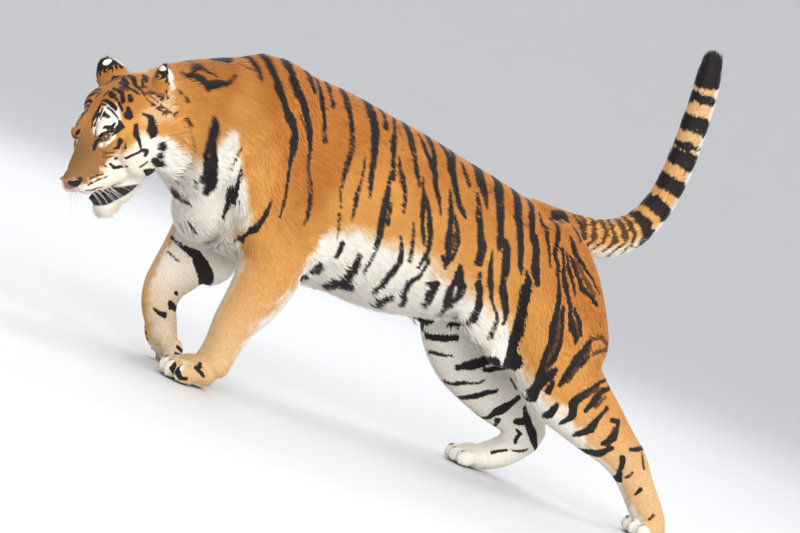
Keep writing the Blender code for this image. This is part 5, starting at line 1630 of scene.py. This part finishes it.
def build_nose():
    """The nose leather: a rounded wedge on a grid of latitude and longitude, wide above and
    narrow below, with two comma nostrils pressed in and a groove down its middle."""
    rings, sides = 90, 120
    a, b, c = (np.sign(t) * np.abs(t)**0.85 for t in sphere(rings, sides, 0.03))
    width = 0.0262 * b * (1.0 + 0.36 * c)
    tall = 0.0170 * c - 0.0115
    side = np.abs(width)
    pit = within(side - 0.0185, tall + 0.0110 + 0.20 * (side - 0.0150), (0.0145, 0.0118),
                 1.0, 0.60)
    slit = within(side - 0.0250 + 0.35 * (tall + 0.006), tall + 0.0060 - 0.35 * (side - 0.025),
                  (0.0075, 0.0042), 1.0, 0.45)
    groove = ease(0.0020, 0.0, side) * ease(0.0, -0.012, tall)
    ahead = ease(-0.3, 0.2, a)
    push = (0.0080 * pit + 0.005 * slit + 0.0022 * groove) * ahead
    points = in_head(0.0100 - a * 0.0145 + push, width, tall)
    nose = new_object("nose_leather", points.reshape(-1, 3), grid_faces(rings, sides),
                      "nose leather")
    # Nostril pits and slits and the middle groove are painted dark: painted shade in the hollows.
    dark = np.maximum.reduce([pit * 2.4, slit * 1.5, groove * 0.6]) * ahead
    rim = ease(-0.010, -0.022, tall) * 0.25
    put_values(nose.data, {"dark": np.clip(np.maximum(dark, rim), 0, 1).ravel()})
    return nose


def build_tongue():
    """A flat tongue that lies in the lower jaw with its tip behind the lip."""
    return new_object("tongue_flesh", *head_tube(TONGUE, rings=24, sides=36), "tongue flesh")


# Rows of whiskers from the top: how far above and behind the nose tip the first stands, and
# how many there are.
WHISKER_ROWS = ((-0.013, 0.045, 4), (-0.023, 0.034, 6), (-0.036, 0.028, 6), (-0.049, 0.038, 5))


def build_whiskers():
    """Whiskers in four rows on each side of the muzzle, and a few over each eye. Along each, a
    point lies t times its length out, sinks by t squared times its drop, and the hair's
    thickness falls evenly to a point."""
    draw = np.random.default_rng(41)
    roots, ways, drops, lengths = [], [], [], []
    for sign in (1, -1):
        for row, (above, first, count) in enumerate(WHISKER_ROWS):
            for k in range(count):
                behind = first + 0.0095 * k
                beside = (0.030 + 0.30 * (behind - 0.02)) * sign
                roots.append(in_head(behind, beside, above - 0.0005 * k))
                ways.append(unit(-FORWARD * (0.25 + 0.12 * k) + LEFT * sign * (0.62 - 0.04 * k)
                                 - UP * (0.42 + 0.13 * row) + draw.normal(0, 0.06, 3)))
                lengths.append(draw.uniform(0.07, 0.125) * (0.8 + 0.08 * k))
                drops.append(-FORWARD * 0.015 - np.array((0, 0, 0.040))
                             - LEFT * sign * 0.02 + draw.normal(0, 0.006, 3))
        for k in range(3):
            roots.append(in_head(0.128 + 0.006 * k, (0.040 + 0.004 * k) * sign, 0.080))
            ways.append(unit(UP * 0.8 - FORWARD * (0.25 + 0.1 * k) + LEFT * sign * 0.35
                             + draw.normal(0, 0.05, 3)))
            lengths.append(draw.uniform(0.030, 0.045))
            drops.append(-FORWARD * 0.015)
    bends, sides = 9, 5
    t = np.linspace(0, 1, bends)[:, None]
    centre = (np.array(roots)[:, None] + np.array(ways)[:, None]
              * (np.array(lengths)[:, None, None] * t) + np.array(drops)[:, None] * (t * t))
    along = unit(np.gradient(centre, axis=1))
    side = unit(np.cross(along, np.array((0.31, 0.21, 0.93))))
    top = np.cross(along, side)
    angle = np.linspace(0, 2 * math.pi, sides, endpoint=False)[:, None]
    ring = side[:, :, None] * np.cos(angle) + top[:, :, None] * np.sin(angle)
    points = centre[:, :, None] + ring * (WHISKER * (1 - 0.93 * t))[:, None]
    one = grid_faces(bends, sides)[:, ::-1]
    faces = np.arange(len(roots))[:, None, None] * bends * sides + one[None]
    return new_object("whiskers", points.reshape(-1, 3), faces.reshape(-1, 3), "whisker")


# ------------------------------------------------------------------ the tiger's add-on


def dressed(thing, slot, *nodes):
    """Carry a finished piece from the plan onto the model, in its mesh, and say what it rides
    on and the nodes it stands for. The slot is not used."""
    thing.data.transform(Matrix.Translation(Vector(SHIFT)))
    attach(thing, "root")
    if nodes:
        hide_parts(*nodes)


FLESH = [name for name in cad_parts
         if not name.startswith(("claw_", "eye_")) and name not in ("nose", "tongue")]


def colour(label, about, value):
    return bpy.props.FloatVectorProperty(name=label, description=about, default=value, size=3,
                                         min=0.0, max=1.0, subtype="COLOR")


def number(label, about, value, **kind):
    return bpy.props.FloatProperty(name=label, description=about, default=value, **kind)


class TigerSettings(bpy.types.PropertyGroup):
    """What a user may change about the coat."""
    pale_orange: colour("Pale orange", "Fur low on the sides and legs", (0.66, 0.295, 0.062))
    deep_orange: colour("Deep orange", "Fur along the back", (0.47, 0.156, 0.021))
    tan: colour("Bridge", "Fur on the bridge of the nose", (0.30, 0.140, 0.044))
    cream: colour("Cream", "Fur between orange and white", (0.73, 0.475, 0.235))
    white: colour("White", "Fur of belly, cheeks and inner legs", (0.87, 0.81, 0.71))
    black: colour("Black", "Fur of the stripes", (0.013, 0.009, 0.008))
    nose: colour("Nose", "Nose leather", (0.42, 0.19, 0.155))
    iris: colour("Iris", "Outer part of the iris", (0.34, 0.32, 0.15))


class StageSettings(bpy.types.PropertyGroup):
    """Where the camera stands and how the floor looks."""
    distance: number("Distance", "From camera to tiger", 7.0, min=2.0, unit="LENGTH")
    turn: number("Turn", "Camera's way round the tiger", math.radians(-28), subtype="ANGLE")
    rise: number("Rise", "Camera's height as an angle", math.radians(3), subtype="ANGLE")
    roll: number("Roll", "Camera's lean, as on a slope", math.radians(22.5), subtype="ANGLE")
    floor: colour("Floor", "Colour of the floor", (0.66, 0.66, 0.66))


class TIGER_OT_materials(bpy.types.Operator):
    """Make the materials of coat, skin, eyes, nose and claws"""
    bl_idname = "tiger.materials"
    bl_label = "Materials"

    def execute(self, context):
        make_materials(context.scene.tiger)
        for name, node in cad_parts.items():
            if name.startswith("claw_"):
                node.data.materials.clear()
                node.data.materials.append(bpy.data.materials["claw horn"])
        return {"FINISHED"}


class TIGER_OT_skin(bpy.types.Operator):
    """Fuse the skin, shape the face and leave the coat's marks on it"""
    bl_idname = "tiger.skin"
    bl_label = "Skin"

    def execute(self, context):
        skin = build_skin()
        mark_skin(skin)
        unwrap(skin)
        return {"FINISHED"}


class TIGER_OT_coat(bpy.types.Operator):
    """Grow the tufts of fur, piece by piece"""
    bl_idname = "tiger.coat"
    bl_label = "Coat"

    def execute(self, context):
        skin = bpy.data.objects["skin"]
        total = sum(coat_piece(skin, name, seed) for seed, name in enumerate(COAT_PIECES, 100))
        print("tufts", total + long_locks(skin, "coat_locks", 90))
        dressed(skin, "coat", *FLESH)
        return {"FINISHED"}


class TIGER_OT_eyes(bpy.types.Operator):
    """Make both eyes and their lids"""
    bl_idname = "tiger.eyes"
    bl_label = "Eyes"

    def execute(self, context):
        for sign, side in ((1, "left"), (-1, "right")):
            dressed(build_eye(sign, f"eyeball_{side}"), "eye", f"eye_{side}")
            dressed(build_lids(sign, f"eyelids_{side}"), "nose_leather")
        return {"FINISHED"}


class TIGER_OT_muzzle(bpy.types.Operator):
    """Make the nose leather, the tongue and the whiskers"""
    bl_idname = "tiger.muzzle"
    bl_label = "Muzzle"

    def execute(self, context):
        dressed(build_nose(), "nose_leather", "nose")
        dressed(build_tongue(), "tongue", "tongue")
        dressed(build_whiskers(), "coat")
        return {"FINISHED"}


# The floor's profile: how far out and how high. Lamps: name, place, size and watts.
DISH = ((0.01, 0), (6, 0), (12, 0), (14, 0.12), (16, 0.5), (18, 1.2), (20, 2.3), (21.5, 3.8),
        (22.5, 5.6), (23, 8), (23, 12))
LAMPS = (("key", (-2.8, -6.0, 3.4), 3.4, 330), ("fill", (3.6, -5.5, 1.4), 3.2, 190),
         ("top", (0.3, 0.4, 5.6), 3.5, 70), ("back", (1.5, 5.0, 4.2), 3.0, 110))


class TIGER_OT_stage(bpy.types.Operator):
    """Make the floor, the lights and the camera"""
    bl_idname = "tiger.stage"
    bl_label = "Stage"

    def execute(self, context):
        choice = context.scene.tiger_stage
        tone = np.array(choice.floor)
        _, inputs, w = new_material("floor", {"Roughness": 0.8})
        w.put(inputs["Base Color"], two_tones(w, 3.0, tone, 0.96 * tone, detail=2.0))
        # A wide round floor that curves up at its rim, like a dish, so no horizon shows.
        reach, rise = (np.array(column)[:, None] for column in zip(*DISH))
        sides = 96
        turn = np.linspace(0, 2 * math.pi, sides, endpoint=False)[None, :]
        rim = np.stack([reach * np.cos(turn), reach * np.sin(turn), rise + 0 * turn], -1)
        faces = grid_faces(len(DISH), sides)[:2 - sides, ::-1]      # open at the rim
        new_object("floor", rim.reshape(-1, 3), faces, "floor")
        context.scene.view_settings.view_transform = "Standard"
        world = bpy.data.worlds.new("studio")
        context.scene.world = world
        world.use_nodes = True
        background = world.node_tree.nodes["Background"]
        background.inputs["Color"].default_value = (0.94, 0.96, 1.0, 1)
        background.inputs["Strength"].default_value = 1.05
        for name, place, size, power in LAMPS:
            lamp = bpy.data.lights.new(name, "AREA")
            lamp.energy, lamp.size = power, size
            thing = bpy.data.objects.new(name, lamp)
            context.scene.collection.objects.link(thing)
            way = Vector((0, 0, 0.5)) - Vector(place)
            thing.matrix_world = (Matrix.Translation(place)
                                  @ way.to_track_quat("-Z", "Y").to_matrix().to_4x4())
        lens = bpy.data.cameras.new("camera")
        lens.lens, lens.sensor_width = 110.25, 36.0
        camera = bpy.data.objects.new("camera", lens)
        context.scene.collection.objects.link(camera)
        back = Vector((math.sin(choice.turn) * math.cos(choice.rise),
                       -math.cos(choice.turn) * math.cos(choice.rise), math.sin(choice.rise)))
        right = (-back).cross(Vector((0, 0, 1))).normalized()
        top = right.cross(-back)
        leaning = right * math.cos(choice.roll) + top * math.sin(choice.roll)
        upright = top * math.cos(choice.roll) - right * math.sin(choice.roll)
        aim = Vector(SHIFT) + Vector((0, 0, 0.50))
        camera.matrix_world = (Matrix.Translation(aim + back * choice.distance)
                               @ Matrix((leaning, upright, back)).transposed().to_4x4())
        context.scene.camera = camera
        return {"FINISHED"}


STEPS = (TIGER_OT_stage, TIGER_OT_materials, TIGER_OT_skin, TIGER_OT_coat, TIGER_OT_eyes,
         TIGER_OT_muzzle)


class TIGER_PT_panel(bpy.types.Panel):
    """The tiger's steps and settings"""
    bl_label = "Tiger"
    bl_idname = "TIGER_PT_panel"
    bl_space_type = "VIEW_3D"
    bl_region_type = "UI"
    bl_category = "Tiger"

    def draw(self, context):
        for step in STEPS:
            self.layout.operator(step.bl_idname)
        for group, kind in ((context.scene.tiger, TigerSettings),
                            (context.scene.tiger_stage, StageSettings)):
            for name in kind.__annotations__:
                self.layout.prop(group, name)


CLASSES = (TigerSettings, StageSettings, *STEPS, TIGER_PT_panel)


def register():
    for kind in CLASSES:
        bpy.utils.register_class(kind)
    bpy.types.Scene.tiger = bpy.props.PointerProperty(type=TigerSettings)
    bpy.types.Scene.tiger_stage = bpy.props.PointerProperty(type=StageSettings)


def unregister():
    del bpy.types.Scene.tiger
    del bpy.types.Scene.tiger_stage
    for kind in reversed(CLASSES):
        bpy.utils.unregister_class(kind)


def main():
    register()
    bpy.ops.tiger.stage()
    bpy.ops.tiger.materials()
    bpy.ops.tiger.skin()
    bpy.ops.tiger.coat()
    bpy.ops.tiger.eyes()
    bpy.ops.tiger.muzzle()


if __name__ == "__main__":
    main()
